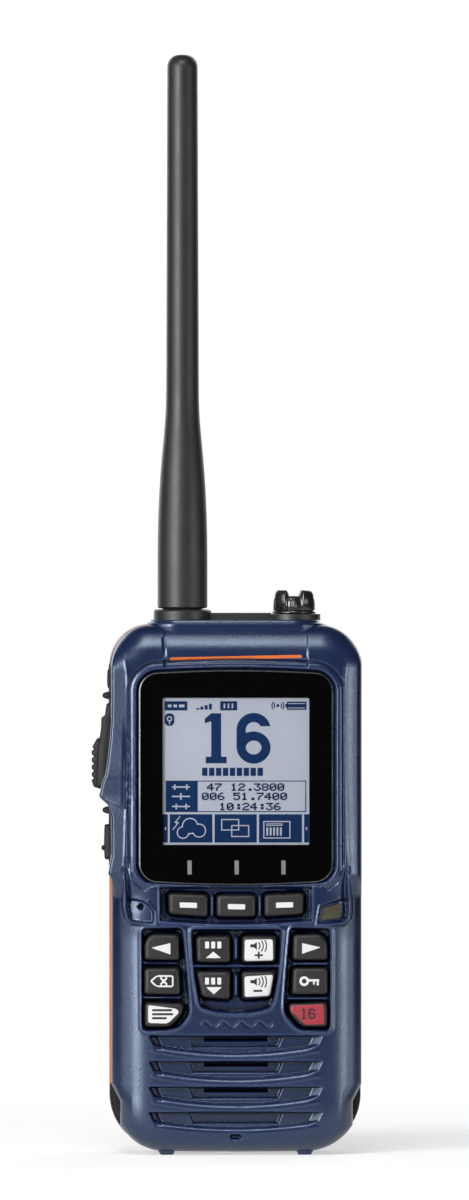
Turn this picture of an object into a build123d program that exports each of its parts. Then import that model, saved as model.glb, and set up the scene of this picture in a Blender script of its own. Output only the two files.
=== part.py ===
"""Handheld VHF marine radio: case, keys, talk button, antenna, tethered cap, battery and belt clip.

The radio stands on its four feet with +Z up and its front face towards -Y. Sizes are in millimetres.
Sketches are placed by three families of planes that share the case's middle and its seam:
face(d) lies d in front of the seam between the two case halves, deck(z) lies z above the surface
it stands on, and side(x) lies x to the right of the case's middle.
"""

import math
import os

from build123d import *

os.makedirs("parts", exist_ok=True)

# ---------------------------------------------------------------- driving dimensions
# Case
CASE_WIDTH = 66.0
CASE_TOP = 139.0
FOOT_HEIGHT = 0.8
SHOULDER_R = 10.8
HEEL_R = 14.5
BOTTOM_SAG = 0.4
FRONT_DEPTH = 20.0
REAR_DEPTH = 8.0
HEAD_DEPTH = 18.0
WALL = 2.2
FACE_WALL = 3.0
BACK_WALL = 2.4
FACE_EDGE_R = 6.5
CAVITY_EDGE_R = 2.0
BACK_EDGE_R = 4.5
RIM_THICKNESS = 1.6
RIM_WIDTH = 4.2
GASKET_INSET = 2.4
GASKET_WIDTH = 1.0
GASKET_HEIGHT = 0.8

# Clearances
GLUE_GAP = 0.05
MOVE_GAP = 0.3
FIT_GAP = 0.05
SEAL_GAP = 0.05

# Feet
FOOT_X = 18.1
FOOT_WIDTH = 4.6
FOOT_TOE = 3.6
FOOT_LENGTH = 7.0
FRONT_FOOT_DEPTH = 8.0
BACK_FOOT_DEPTH = 9.5
FOOT_ROOT = 3.0

# Heel notches that show the battery behind the front case
NOTCH_DEPTH = 1.3
NOTCH_LOW = 8.6
NOTCH_HIGH = 16.2

# Raised deck on top of the front case
DECK_TOP = 140.3
DECK_STEP = 139.5
DECK_SIDE = 9.9
DECK_REACH = 17.5
DECK_CORNER_R = 8.0
DECK_INSET = 0.8
DECK_EDGE_R = 0.35

# Window and display
WINDOW_WIDTH = 50.8
WINDOW_LOW = 70.9
WINDOW_HIGH = 127.2
WINDOW_BULGE = 1.0
WINDOW_CORNER_R = 4.5
WINDOW_DROP = 1.0
WINDOW_THICKNESS = 1.2
WINDOW_SLOPE = 1.5
ADHESIVE_THICKNESS = 0.2
VIEW_WIDTH = 38.4
VIEW_LOW = 81.4
VIEW_HIGH = 119.9
VIEW_MARGIN = 1.0
BEZEL_GROOVE_OFFSET = 2.0
BEZEL_GROOVE_WIDTH = 0.55
BEZEL_GROOVE_DEPTH = 0.5
DISPLAY_WIDTH = 44.0
DISPLAY_LOW = 76.0
DISPLAY_HIGH = 125.0
DISPLAY_GAP = 0.1

# Panel above the window, let in between two short creases
BROW_WIDTH = 37.0
BROW_DROP = 0.7

# Keys
KEY_PROUD = 0.3
KEY_TRAVEL = 0.8
KEY_POCKET_DEPTH = 0.9
KEY_POCKET_MARGIN = 0.8
KEY_FLANGE = 0.7
KEY_FLANGE_THICKNESS = 1.0
KEY_FLANGE_GAP = 0.2
KEY_CORNER_R = 0.9
KEY_CUT = 2.6
KEY_TOP_R = 0.6
OUTER_KEY_X = 19.3
OUTER_KEY_WIDTH = 9.4
LOW_KEY_X = 18.7
LOW_KEY_WIDTH = 10.2
INNER_KEY_X = 6.0
INNER_KEY_WIDTH = 9.0
SOFT_KEY_PITCH = 12.45
SOFT_KEY_WIDTH = 10.3
SOFT_KEY_HEIGHT = 5.7
SOFT_KEY_Z = 65.4
SOFT_KEY_RISE = 0.35
OUTER_ROW_Z = (54.6, 45.6, 36.8)
OUTER_ROW_HEIGHT = (7.0, 7.2, 6.6)
INNER_ROW_Z = (54.2, 44.6)
INNER_ROW_HEIGHT = (7.2, 7.4)

# Keypad mat
MAT_THICKNESS = 2.0
MAT_PEG_R = 1.6
MAT_MARGIN = 1.4

# Microphone and strobe pockets beside the soft keys, their corners as (inset from the side, height)
POCKET_DEPTH = 0.8
POCKET_CORNER_R = 0.8
POCKET_CORNERS = ((4.2, 67.0), (9.6, 66.5), (11.5, 64.2), (11.4, 61.2), (5.8, 61.4), (4.1, 63.4))
STROBE_CORNERS = ((9.8, 64.6), (5.9, 65.7), (5.9, 63.0), (10.5, 61.9))
MIC_INSET = 8.0
MIC_Z = 65.2
MIC_HOLE_R = 0.65
MIC_R = 3.0
MIC_HEIGHT = 2.2
MIC_BOOT_WALL = 0.7
STROBE_INSET = 8.0
STROBE_Z = 63.7
STROBE_FLANGE = 0.8
STROBE_LED_SIZE = 3.0
STROBE_LED_HEIGHT = 2.1

# Speaker
SPEAKER_Z = 19.6
SPEAKER_R = 14.0
SPEAKER_DEPTH = 6.0
SPEAKER_WALL = 0.8
MAGNET_R = 7.5
MAGNET_DEPTH = 4.4
MEMBRANE_THICKNESS = 0.3
SPEAKER_GASKET_THICKNESS = 0.8
SPEAKER_GASKET_WIDTH = 2.0
SLOT_COUNT = 4
SLOT_TOP = 31.3
SLOT_PITCH = 6.63
SLOT_HALF = 22.7
SLOT_HEIGHT = 2.6
SLOT_BULGE = 0.8
SLOT_DEPTH = 1.0
SLOT_INNER_HALF = 12.5
SLOT_INNER_DEPTH = 1.8
SLIT_HALF = 7.9
SLIT_HEIGHT = 0.9
SLOT_STEP = 0.5
DRAIN_WIDTH = 2.6
DRAIN_Z = 5.0
DRAIN_HEIGHT = 1.1

# Main board and what stands on it
BOARD_FRONT = 11.2
BOARD_THICKNESS = 1.6
BOARD_SIDE_GAP = 2.6
BOARD_LOW = 36.0
BOARD_HIGH = 126.5
SHIELD_X = -4.0
SHIELD_WIDTH = 36.0
SHIELD_LOW = 58.0
SHIELD_HIGH = 100.0
SHIELD_HEIGHT = 4.0
SHIELD_WALL = 0.4
PATCH_SIZE = 18.0
PATCH_THICKNESS = 4.0
PATCH_X = 2.0
PATCH_Z = 112.0

# Case screws
SCREW_INSET = 8.8
SCREW_HIGH_Z = 130.2
SCREW_LOW_INSET = 9.0
SCREW_LOW_Z = 10.5
SCREW_R = 1.25
SCREW_BITE = 8.0
SCREW_HEAD_R = 2.5
SCREW_HEAD_HEIGHT = 1.2
SCREW_SOCKET_R = 0.9
BOSS_R = 3.0
COLUMN_R = 3.8
HIGH_SEAT = 4.0

# Side panel, talk button and side keys, measured up from the surface and forward from the seam
PANEL_BACK = 2.2
PANEL_FRONT = 10.6
PANEL_LOW = 75.5
PANEL_HIGH = 129.0
PANEL_DEPTH = 1.2
PANEL_PROUD = 0.25
PTT_BACK = 3.2
PTT_FRONT = 9.6
PTT_LOW = 95.7
PTT_HIGH = 118.6
PTT_REACH = 4.8
PTT_STEPS = ((0.8, 0), (1.2, 3.8), (2.3, 4.7), (2.3, 7.3), (3.8, 9.1), (PTT_REACH, 10.8))
PTT_TOE_REACH = 4.0
PTT_TOE_HEIGHT = 2.3
PTT_TRAVEL = 1.2
PTT_EDGE = 0.5
PTT_RIBS = 5
PTT_RIB_PITCH = 1.9
PTT_RIB_R = 0.4
PTT_RIB_MID = 102.5
SIDE_KEY_BACK = 3.6
SIDE_KEY_FRONT = 9.0
UPPER_KEY_LOW = 122.1
UPPER_KEY_HIGH = 127.5
UPPER_KEY_REACH = 0.7
LOWER_KEY_LOW = 77.2
LOWER_KEY_HIGH = 86.7
LOWER_KEY_REACH = 1.5
LOWER_PIP_REACH = 0.7
LOWER_KEY_PIP_Z = 80.4
SIDE_KEY_EDGE_R = 0.4
SIDE_FLANGE = 0.7
SIDE_FLANGE_THICKNESS = 0.8
PIP_R = 1.0
PIP_LENGTH = 4.5
PIP_REACH = 1.9
UPPER_PIP_Z = 120.4
LOWER_PIP_Z = 90.3
SIDE_BOARD_GAP = 4.0
SIDE_BOARD_THICKNESS = 1.0
SWITCH_SIZE = 4.0
GUARD_BACK = 10.9
GUARD_FRONT = 15.6
GUARD_EDGE_R = 0.8
UPPER_GUARD = ((-1.2, 122.0), (1.3, 103.0), (1.9, 99.4), (3.4, 94.6), (0.9, 91.8), (-1.2, 86.0))
LOWER_GUARD = ((-1.2, 82.0), (0.7, 76.8), (1.0, 74.0), (-1.2, 70.4))

# Antenna
ANTENNA_X = -13.9
ANTENNA_DEPTH = 8.2
ANTENNA_BASE_R = 6.55
ANTENNA_LIP = 0.4
ANTENNA_SHOULDER = 155.0
ANTENNA_SHOULDER_R = 5.5
ANTENNA_BEND = 182.2
ANTENNA_NECK = 200.0
ANTENNA_NECK_R = 4.3
ANTENNA_THIN_R = 4.0
ANTENNA_TIP = 288.6
ANTENNA_TIP_R = 3.2
SOCKET_R = 4.0
SOCKET_TOP = 149.0
SOCKET_BORE_R = 1.2
SOCKET_FLANGE_R = 6.0
SOCKET_FLANGE_HEIGHT = 3.0
ORING_R = 4.95
ORING_WIRE_R = 0.6

# Tether and jack cap
RING_R = 7.55
RING_TOP = 143.0
RING_EDGE = 0.4
RING_HOLE_GAP = 0.3
STRAP_WIDTH = 5.0
STRAP_THICKNESS = 1.8
JACK_X = 15.4
JACK_RING_R = 6.9
JACK_RING_LOW = 139.6
JACK_RING_TOP = 141.8
JACK_R = 5.0
JACK_FLANGE_R = 6.2
JACK_FLANGE_HEIGHT = 1.5
JACK_BASE = 128.0
JACK_BORE_R = 2.95
JACK_BORE_LOW = 131.0
JACK_COUNTER_LOW = 136.0
JACK_COUNTER_R = 3.75
JACK_TAIL_LOW = 121.0
JACK_TAIL_WIDTH = 4.0
JACK_TAIL_THICKNESS = 1.2
CAP_R = 5.75
CAP_STEP = 144.0
CAP_CORE_R = 4.5
CAP_CORE_TOP = 146.7
CAP_PRONG_R = 1.4
CAP_PRONG_PLACE = 3.4
CAP_PRONG_TOP = 148.1
CAP_RIB_R = 0.8
CAP_RIB_COUNT = 8
CAP_EDGE = 0.4
CAP_NECK_R = 3.4
CAP_STEM_LOW = 133.5
CAP_SEAL_WIRE_R = 0.4
CAP_SEAL_Z = 137.4

# Distress key and its cover, in the back of the head
HEAD_LOW = 108.0
COVER_HALF = 11.0
COVER_LOW = 113.0
COVER_HIGH = 131.0
COVER_THICKNESS = 1.4
COVER_BARREL_R = 1.5
COVER_PIN_R = 0.8
COVER_RECESS_DEPTH = 3.8
COVER_FLOOR = 2.2
DISTRESS_R = 4.2
DISTRESS_Z = 121.0
DISTRESS_RISE = 1.0
DISTRESS_TRAVEL = 1.0
DISTRESS_FLANGE = 1.0
DISTRESS_SWITCH_HEIGHT = 1.5
DISTRESS_BOARD_HEIGHT = 12.0
DISTRESS_BOARD_THICKNESS = 1.0
POST_R = 1.5
SCOOP_R = 2.5
LUG_X = 20.0
LUG_THICKNESS = 3.0
LUG_Z = 113.6
LUG_REACH = 4.6
LUG_HOLE_R = 1.5
LUG_WALL = 1.6
LUG_ROOT = 1.0

# Battery pack
TOE_HEIGHT = 16.0
TOE_RIM = 1.8
PACK_GAP = 0.3
PACK_HIGH = 107.6
PACK_WALL = 1.6
PACK_FLOOR = 22.0
CELL_WIDTH = 28.0
CELL_LOW = 23.0
CELL_HIGH = 104.0
CELL_SPACING = 29.0
CONTACT_Z = 45.0
CONTACT_PITCH = 6.0
CONTACT_COUNT = 3
CONTACT_R = 0.9
CONTACT_PAD_R = 2.0
CONTACT_BLOCK_HEIGHT = 6.0
LATCH_HALF = 8.5
LATCH_LOW = 6.0
LATCH_HIGH = 12.4
LATCH_DEPTH = 4.4
LATCH_WING = 1.0
LATCH_WING_DEPTH = 1.4
LATCH_POCKET_HIGH = 18.8
LATCH_RIB_COUNT = 3
LATCH_RIB_R = 0.45
LATCH_RIB_PITCH = 1.8
LATCH_SPRING_R = 1.3
LATCH_SPRING_WIRE_R = 0.25
LATCH_SPRING_TURNS = 5

# Belt clip
CLIP_HALF = 11.0
CLIP_EAR = 2.0
CLIP_GAP = 4.6
CLIP_AXIS_OFFSET = 5.0
CLIP_AXIS_Z = 92.0
CLIP_THICKNESS = 2.0
CLIP_LOW = 36.0
CLIP_HIGH = 103.0
CLIP_TIP_HEIGHT = 4.0
CLIP_RIB_COUNT = 3
CLIP_RIB_PITCH = 2.2
CLIP_RIB_R = 0.45
CLIP_BARREL_R = 2.6
CLIP_BARREL_HALF_GAP = 5.2
CLIP_PIN_R = 1.25
CLIP_CORNER_R = 4.0
BRACKET_THICKNESS = 1.6
BRACKET_LOW = 82.0
BRACKET_HIGH = 96.5
BRACKET_SCREW_X = 7.5
BRACKET_SCREW_Z = 84.6
BRACKET_SCREW_R = 1.0
BRACKET_HEAD_R = 1.9
BRACKET_HEAD_HEIGHT = 0.8
CLIP_SPRING_R = 1.95
CLIP_SPRING_WIRE_R = 0.35
CLIP_SPRING_TURNS = 6
CLIP_SPRING_LEG = 3.8

# ---------------------------------------------------------------- derived places
CASE_HALF = CASE_WIDTH / 2
CASE_BOTTOM = FOOT_HEIGHT
FACE_INSIDE = FRONT_DEPTH - FACE_WALL
WINDOW_FRONT = FRONT_DEPTH - WINDOW_DROP
WINDOW_BACK = WINDOW_FRONT - WINDOW_THICKNESS
WINDOW_SEAT = WINDOW_BACK - ADHESIVE_THICKNESS
KEY_TOP = FRONT_DEPTH + KEY_PROUD
KEY_FLANGE_FRONT = FACE_INSIDE - KEY_FLANGE_GAP
KEY_BACK = KEY_FLANGE_FRONT - KEY_FLANGE_THICKNESS
PEG_FRONT = KEY_BACK - KEY_TRAVEL - MOVE_GAP
BOARD_BACK = BOARD_FRONT - BOARD_THICKNESS
SEAT_DEPTH = REAR_DEPTH - BACK_WALL
CLIP_AXIS_DEPTH = HEAD_DEPTH + CLIP_AXIS_OFFSET
CLIP_INNER = HEAD_DEPTH + CLIP_GAP
CLIP_OUTER = CLIP_INNER + CLIP_THICKNESS
SIDE_INSIDE = CASE_HALF - WALL
BOARD_HALF = SIDE_INSIDE - BOARD_SIDE_GAP
MIC_X = -CASE_HALF + MIC_INSET
STROBE_X = CASE_HALF - STROBE_INSET
SCREW_X = CASE_HALF - SCREW_INSET
SCREW_LOW_X = CASE_HALF - SCREW_LOW_INSET
DECK_HALF = CASE_HALF - DECK_SIDE
PACK_FRONT = REAR_DEPTH + PACK_GAP
ANTENNA_FOOT = RING_TOP + MOVE_GAP
CAP_LOW = JACK_RING_TOP + MOVE_GAP

# The origin is under the middle of the whole radio, so the case sits a little to the right of it
# and its seam a little in front.
MID_X = PTT_REACH / 2
SEAM_Y = (KEY_TOP - max(CLIP_OUTER, CLIP_AXIS_DEPTH + CLIP_BARREL_R)) / 2


def face(depth):
    """Plane parallel to the front, depth in front of the seam. Local x is right, local y is up."""
    return Plane(origin=(MID_X, SEAM_Y - depth, 0), x_dir=(1, 0, 0), z_dir=(0, -1, 0))


def deck(height):
    """Horizontal plane at a height. Local x is right, local y is back from the seam."""
    return Plane(origin=(MID_X, SEAM_Y, height), x_dir=(1, 0, 0), z_dir=(0, 0, 1))


def side(across):
    """Plane parallel to the sides, across to the right of the middle. Local x is back, y is up."""
    return Plane(origin=(MID_X + across, SEAM_Y, 0), x_dir=(0, 1, 0), z_dir=(1, 0, 0))


# ---------------------------------------------------------------- shared outlines
def panel(low_x, high_x, low_y, high_y, radius=0.0):
    """A rectangle given by its edges, with rounded corners if radius is set."""
    with BuildSketch(Plane.XY) as shape:
        with Locations(((low_x + high_x) / 2, (low_y + high_y) / 2)):
            Rectangle(high_x - low_x, high_y - low_y)
        if radius:
            fillet(shape.vertices(), radius)
    return shape.sketch


def case_outline(inset=0.0):
    """The case from the front: straight sides, round shoulders, rounder heels, bulged bottom."""
    half = CASE_HALF - inset
    low = CASE_BOTTOM + inset
    high = CASE_TOP - inset
    with BuildSketch(Plane.XY) as shape:
        with BuildLine():
            Polyline((-half, low + BOTTOM_SAG), (-half, high), (half, high), (half, low + BOTTOM_SAG))
            ThreePointArc((half, low + BOTTOM_SAG), (0, low), (-half, low + BOTTOM_SAG))
        make_face()
        fillet(shape.vertices().group_by(Axis.Y)[-1], SHOULDER_R - inset)
        fillet(shape.vertices().group_by(Axis.Y)[0], HEEL_R - inset)
    return shape.sketch


def case_slice(low, high, inset=0.0):
    """The part of the case outline between two heights."""
    with BuildSketch(Plane.XY) as shape:
        add(case_outline(inset))
        add(panel(-CASE_WIDTH, CASE_WIDTH, low, high), mode=Mode.INTERSECT)
    return shape.sketch


def window_outline(grow=0.0):
    """The window pane's outline, its top and bottom edges bulged outwards, grown all round."""
    half = WINDOW_WIDTH / 2 + grow
    low = WINDOW_LOW - grow
    high = WINDOW_HIGH + grow
    with BuildSketch(Plane.XY) as shape:
        with BuildLine():
            Line((-half, low + WINDOW_BULGE), (-half, high - WINDOW_BULGE))
            ThreePointArc((-half, high - WINDOW_BULGE), (0, high), (half, high - WINDOW_BULGE))
            Line((half, high - WINDOW_BULGE), (half, low + WINDOW_BULGE))
            ThreePointArc((half, low + WINDOW_BULGE), (0, low), (-half, low + WINDOW_BULGE))
        make_face()
        fillet(shape.vertices(), WINDOW_CORNER_R + grow)
    return shape.sketch


def deck_outline(inset=0.0):
    """The raised deck from above, with its front corners rounded."""
    half = DECK_HALF - inset
    with BuildSketch(Plane.XY) as shape:
        add(panel(-half, half, -DECK_REACH + inset, -inset))
        fillet(shape.vertices().group_by(Axis.Y)[0], DECK_CORNER_R - inset)
    return shape.sketch


def key_outline(key, grow=0.0):
    """A key from the front: a rounded rectangle, with one corner cut where the key has that."""
    cut_x, cut_z = key["cut"]
    with BuildSketch(Plane.XY) as shape:
        Rectangle(key["width"] + 2 * grow, key["height"] + 2 * grow)
        corner = [point for point in shape.vertices() if point.X * cut_x > 0 and point.Y * cut_z > 0]
        if corner:
            chamfer(corner, KEY_CUT + grow * (2 - math.sqrt(2)))
        fillet(shape.vertices(), KEY_CORNER_R + grow)
    return shape.sketch.moved(Location((key["x"], key["z"])))


def slot_outline(top, half, height, bulge):
    """A speaker slot from the front: straight top edge, rounded ends and a lower edge bulged down."""
    with BuildSketch(Plane.XY) as shape:
        with BuildLine():
            Polyline((-half, top - height), (-half, top), (half, top), (half, top - height))
            ThreePointArc((half, top - height), (0, top - height - bulge), (-half, top - height))
        make_face()
        fillet(shape.vertices(), height * 0.35)
    return shape.sketch


def pocket_outline(sign):
    """The pocket beside the soft keys, on the left for sign -1 and on the right for sign 1."""
    with BuildSketch(Plane.XY) as shape:
        with BuildLine():
            Polyline(*[(sign * (CASE_HALF - inset), z) for inset, z in POCKET_CORNERS], close=True)
        make_face()
        fillet(shape.vertices(), POCKET_CORNER_R)
    return shape.sketch


def strobe_outline(grow=0.0):
    """The strobe window: a quadrilateral in the right pocket, grown all round."""
    with BuildSketch(Plane.XY) as shape:
        with BuildLine():
            Polyline(*[(CASE_HALF - inset, z) for inset, z in STROBE_CORNERS], close=True)
        make_face()
        offset(amount=grow + POCKET_CORNER_R / 2, kind=Kind.ARC)
    return shape.sketch


def foot_outline(sign):
    """A foot from the front, narrowing to the surface it stands on."""
    with BuildSketch(Plane.XY) as shape:
        with BuildLine():
            Polyline(
                (sign * FOOT_X - FOOT_TOE / 2, 0),
                (sign * FOOT_X + FOOT_TOE / 2, 0),
                (sign * FOOT_X + FOOT_WIDTH / 2, FOOT_HEIGHT),
                (sign * FOOT_X + FOOT_WIDTH / 2, FOOT_ROOT),
                (sign * FOOT_X - FOOT_WIDTH / 2, FOOT_ROOT),
                (sign * FOOT_X - FOOT_WIDTH / 2, FOOT_HEIGHT),
                close=True,
            )
        make_face()
    return shape.sketch


def save(builder, name):
    """Label a finished piece and write it as the node of that name."""
    builder.part.label = name
    export_step(builder.part, f"parts/{name}.step")


# ---------------------------------------------------------------- key table
def key(name, x, z, width, height, cut=(0, 0)):
    """One front key: its name, place, size and the corner that is cut off, as signs of x and z."""
    return {"name": name, "x": x, "z": z, "width": width, "height": height, "cut": cut}


SOFT_KEYS = [
    key("soft_key_left", -SOFT_KEY_PITCH, SOFT_KEY_Z + SOFT_KEY_RISE, SOFT_KEY_WIDTH, SOFT_KEY_HEIGHT),
    key("soft_key_middle", 0, SOFT_KEY_Z, SOFT_KEY_WIDTH, SOFT_KEY_HEIGHT),
    key("soft_key_right", SOFT_KEY_PITCH, SOFT_KEY_Z + SOFT_KEY_RISE, SOFT_KEY_WIDTH, SOFT_KEY_HEIGHT),
]
PAD_KEYS = [
    key("left_arrow_key", -OUTER_KEY_X, OUTER_ROW_Z[0], OUTER_KEY_WIDTH, OUTER_ROW_HEIGHT[0], (-1, 1)),
    key("right_arrow_key", OUTER_KEY_X, OUTER_ROW_Z[0], OUTER_KEY_WIDTH, OUTER_ROW_HEIGHT[0], (1, 1)),
    key("clear_key", -OUTER_KEY_X, OUTER_ROW_Z[1], OUTER_KEY_WIDTH, OUTER_ROW_HEIGHT[1]),
    key("lock_key", OUTER_KEY_X, OUTER_ROW_Z[1], OUTER_KEY_WIDTH, OUTER_ROW_HEIGHT[1]),
    key("menu_key", -LOW_KEY_X, OUTER_ROW_Z[2], LOW_KEY_WIDTH, OUTER_ROW_HEIGHT[2], (1, -1)),
    key("red_key", LOW_KEY_X, OUTER_ROW_Z[2], LOW_KEY_WIDTH, OUTER_ROW_HEIGHT[2], (-1, -1)),
    key("channel_up_key", -INNER_KEY_X, INNER_ROW_Z[0], INNER_KEY_WIDTH, INNER_ROW_HEIGHT[0]),
    key("channel_down_key", -INNER_KEY_X, INNER_ROW_Z[1], INNER_KEY_WIDTH, INNER_ROW_HEIGHT[1]),
    key("volume_up_key", INNER_KEY_X, INNER_ROW_Z[0], INNER_KEY_WIDTH, INNER_ROW_HEIGHT[0]),
    key("volume_down_key", INNER_KEY_X, INNER_ROW_Z[1], INNER_KEY_WIDTH, INNER_ROW_HEIGHT[1]),
]
KEYS = SOFT_KEYS + PAD_KEYS

# ---------------------------------------------------------------- front case
DECK_ROOT = CASE_TOP - FACE_EDGE_R
CASE_INSIDE_TOP = CASE_TOP - WALL
SCREW_PLACES = (
    (-SCREW_X, SCREW_HIGH_Z),
    (SCREW_X, SCREW_HIGH_Z),
    (-SCREW_LOW_X, SCREW_LOW_Z),
    (SCREW_LOW_X, SCREW_LOW_Z),
)
HIGH_SCREWS = SCREW_PLACES[:2]
LOW_SCREWS = SCREW_PLACES[2:]
SIDE_OPENINGS = (
    (PTT_BACK, PTT_FRONT, PTT_LOW, PTT_HIGH),
    (SIDE_KEY_BACK, SIDE_KEY_FRONT, UPPER_KEY_LOW, UPPER_KEY_HIGH),
    (SIDE_KEY_BACK, SIDE_KEY_FRONT, LOWER_KEY_LOW, LOWER_KEY_HIGH),
)


def side_opening(opening):
    """The hole round one side button, from the side."""
    back, front, low, high = opening
    return panel(-front - MOVE_GAP, -back + MOVE_GAP, low - MOVE_GAP, high + MOVE_GAP, KEY_CORNER_R)


def guard_outline(reaches):
    """A guard on the left side from the front, given as (reach beyond the side, height) pairs."""
    with BuildSketch(Plane.XY) as shape:
        with BuildLine():
            Polyline(*[(-CASE_HALF - reach, z) for reach, z in reaches], close=True)
        make_face()
    return shape.sketch


with BuildPart() as guards:
    with BuildSketch(face(GUARD_BACK)):
        add(guard_outline(UPPER_GUARD))
        add(guard_outline(LOWER_GUARD))
    extrude(amount=GUARD_FRONT - GUARD_BACK)
    front_edges = guards.edges().group_by(Axis.Y)[0]
    chamfer([edge for edge in front_edges if edge.center().X < MID_X - CASE_HALF], GUARD_EDGE_R)

with BuildPart() as front_cavity:
    with BuildSketch(face(RIM_THICKNESS)):
        add(case_outline(WALL))
    extrude(amount=FACE_INSIDE - RIM_THICKNESS)
    fillet(front_cavity.edges().group_by(Axis.Y)[0], CAVITY_EDGE_R)
    with BuildSketch(face(0)):
        add(case_outline(RIM_WIDTH))
    extrude(amount=RIM_THICKNESS)

with BuildPart() as front_case:
    with BuildSketch(face(0)):
        add(case_outline())
    extrude(amount=FRONT_DEPTH)
    fillet(front_case.edges().group_by(Axis.Y)[0], FACE_EDGE_R)
    # raised deck in two steps
    with BuildSketch(deck(DECK_ROOT)):
        add(deck_outline())
    extrude(amount=DECK_STEP - DECK_ROOT)
    with BuildSketch(deck(DECK_STEP)):
        add(deck_outline(DECK_INSET))
    extrude(amount=DECK_TOP - DECK_STEP)
    fillet(front_case.edges().group_by(Axis.Z)[-1], DECK_EDGE_R)
    # guards, feet and heel notches
    add(guards.part)
    for sign in (-1, 1):
        with BuildSketch(face(FRONT_FOOT_DEPTH)):
            add(foot_outline(sign))
        extrude(amount=FOOT_LENGTH)
        with BuildSketch(face(0)):
            with Locations((sign * (CASE_HALF - NOTCH_DEPTH + CASE_HALF / 2), (NOTCH_LOW + NOTCH_HIGH) / 2)):
                Rectangle(CASE_HALF, NOTCH_HIGH - NOTCH_LOW)
        extrude(amount=FRONT_DEPTH, mode=Mode.SUBTRACT)
    add(front_cavity.part, mode=Mode.SUBTRACT)
    # screw bosses on the back of the face
    with BuildSketch(face(0)):
        with Locations(*SCREW_PLACES):
            Circle(BOSS_R)
    extrude(amount=FACE_INSIDE + POCKET_DEPTH)
    with BuildSketch(face(0)):
        with Locations(*SCREW_PLACES):
            Circle(SCREW_R + FIT_GAP)
    extrude(amount=SCREW_BITE + MOVE_GAP, mode=Mode.SUBTRACT)
    # gasket groove in the rim
    with BuildSketch(face(0)):
        add(case_outline(GASKET_INSET))
        add(case_outline(GASKET_INSET + GASKET_WIDTH), mode=Mode.SUBTRACT)
    extrude(amount=GASKET_HEIGHT, mode=Mode.SUBTRACT)
    # window recess with sloped walls, seat and display opening
    with BuildSketch(face(WINDOW_SEAT)):
        add(window_outline())
    extrude(amount=FRONT_DEPTH - WINDOW_SEAT, mode=Mode.SUBTRACT)
    with BuildSketch(face(WINDOW_FRONT)):
        add(window_outline())
    with BuildSketch(face(FRONT_DEPTH)):
        add(window_outline(WINDOW_SLOPE))
    loft(mode=Mode.SUBTRACT)
    with BuildSketch(face(FACE_INSIDE)):
        add(
            panel(
                -VIEW_WIDTH / 2 - VIEW_MARGIN,
                VIEW_WIDTH / 2 + VIEW_MARGIN,
                VIEW_LOW - VIEW_MARGIN,
                VIEW_HIGH + VIEW_MARGIN,
            )
        )
    extrude(amount=FACE_WALL, mode=Mode.SUBTRACT)
    # groove along the sides and top of the window frame
    with BuildSketch(face(FRONT_DEPTH - BEZEL_GROOVE_DEPTH)):
        add(window_outline(BEZEL_GROOVE_OFFSET + BEZEL_GROOVE_WIDTH))
        add(window_outline(BEZEL_GROOVE_OFFSET), mode=Mode.SUBTRACT)
        add(panel(-CASE_WIDTH, CASE_WIDTH, WINDOW_LOW + WINDOW_CORNER_R, CASE_TOP), mode=Mode.INTERSECT)
    extrude(amount=BEZEL_GROOVE_DEPTH, mode=Mode.SUBTRACT)
    # brow panel let in above the window
    with BuildSketch(side(-BROW_WIDTH / 2)):
        with BuildLine():
            ThreePointArc(
                (-FRONT_DEPTH + BROW_DROP, WINDOW_HIGH + WINDOW_SLOPE),
                (-FRONT_DEPTH + BROW_DROP, CASE_TOP - FACE_EDGE_R),
                (-DECK_REACH - BROW_DROP, CASE_TOP - WALL),
            )
            Polyline(
                (-DECK_REACH - BROW_DROP, CASE_TOP - WALL),
                (-FRONT_DEPTH - BROW_DROP, CASE_TOP - WALL),
                (-FRONT_DEPTH - BROW_DROP, WINDOW_HIGH + WINDOW_SLOPE),
                (-FRONT_DEPTH + BROW_DROP, WINDOW_HIGH + WINDOW_SLOPE),
            )
        make_face()
    extrude(amount=BROW_WIDTH, mode=Mode.SUBTRACT)
    # pockets beside the soft keys, with the microphone hole and the strobe opening
    with BuildSketch(face(FRONT_DEPTH - POCKET_DEPTH)):
        add(pocket_outline(-1))
        add(pocket_outline(1))
    extrude(amount=POCKET_DEPTH, mode=Mode.SUBTRACT)
    with BuildSketch(face(FACE_INSIDE)):
        with Locations((MIC_X, MIC_Z)):
            Circle(MIC_HOLE_R)
        add(strobe_outline())
    extrude(amount=FACE_WALL, mode=Mode.SUBTRACT)
    # a shallow pocket and a hole for every key
    with BuildSketch(face(FRONT_DEPTH - KEY_POCKET_DEPTH)):
        for item in KEYS:
            add(key_outline(item, KEY_POCKET_MARGIN))
    extrude(amount=KEY_POCKET_DEPTH, mode=Mode.SUBTRACT)
    with BuildSketch(face(FACE_INSIDE)):
        for item in KEYS:
            add(key_outline(item, MOVE_GAP))
    extrude(amount=FACE_WALL, mode=Mode.SUBTRACT)
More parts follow.
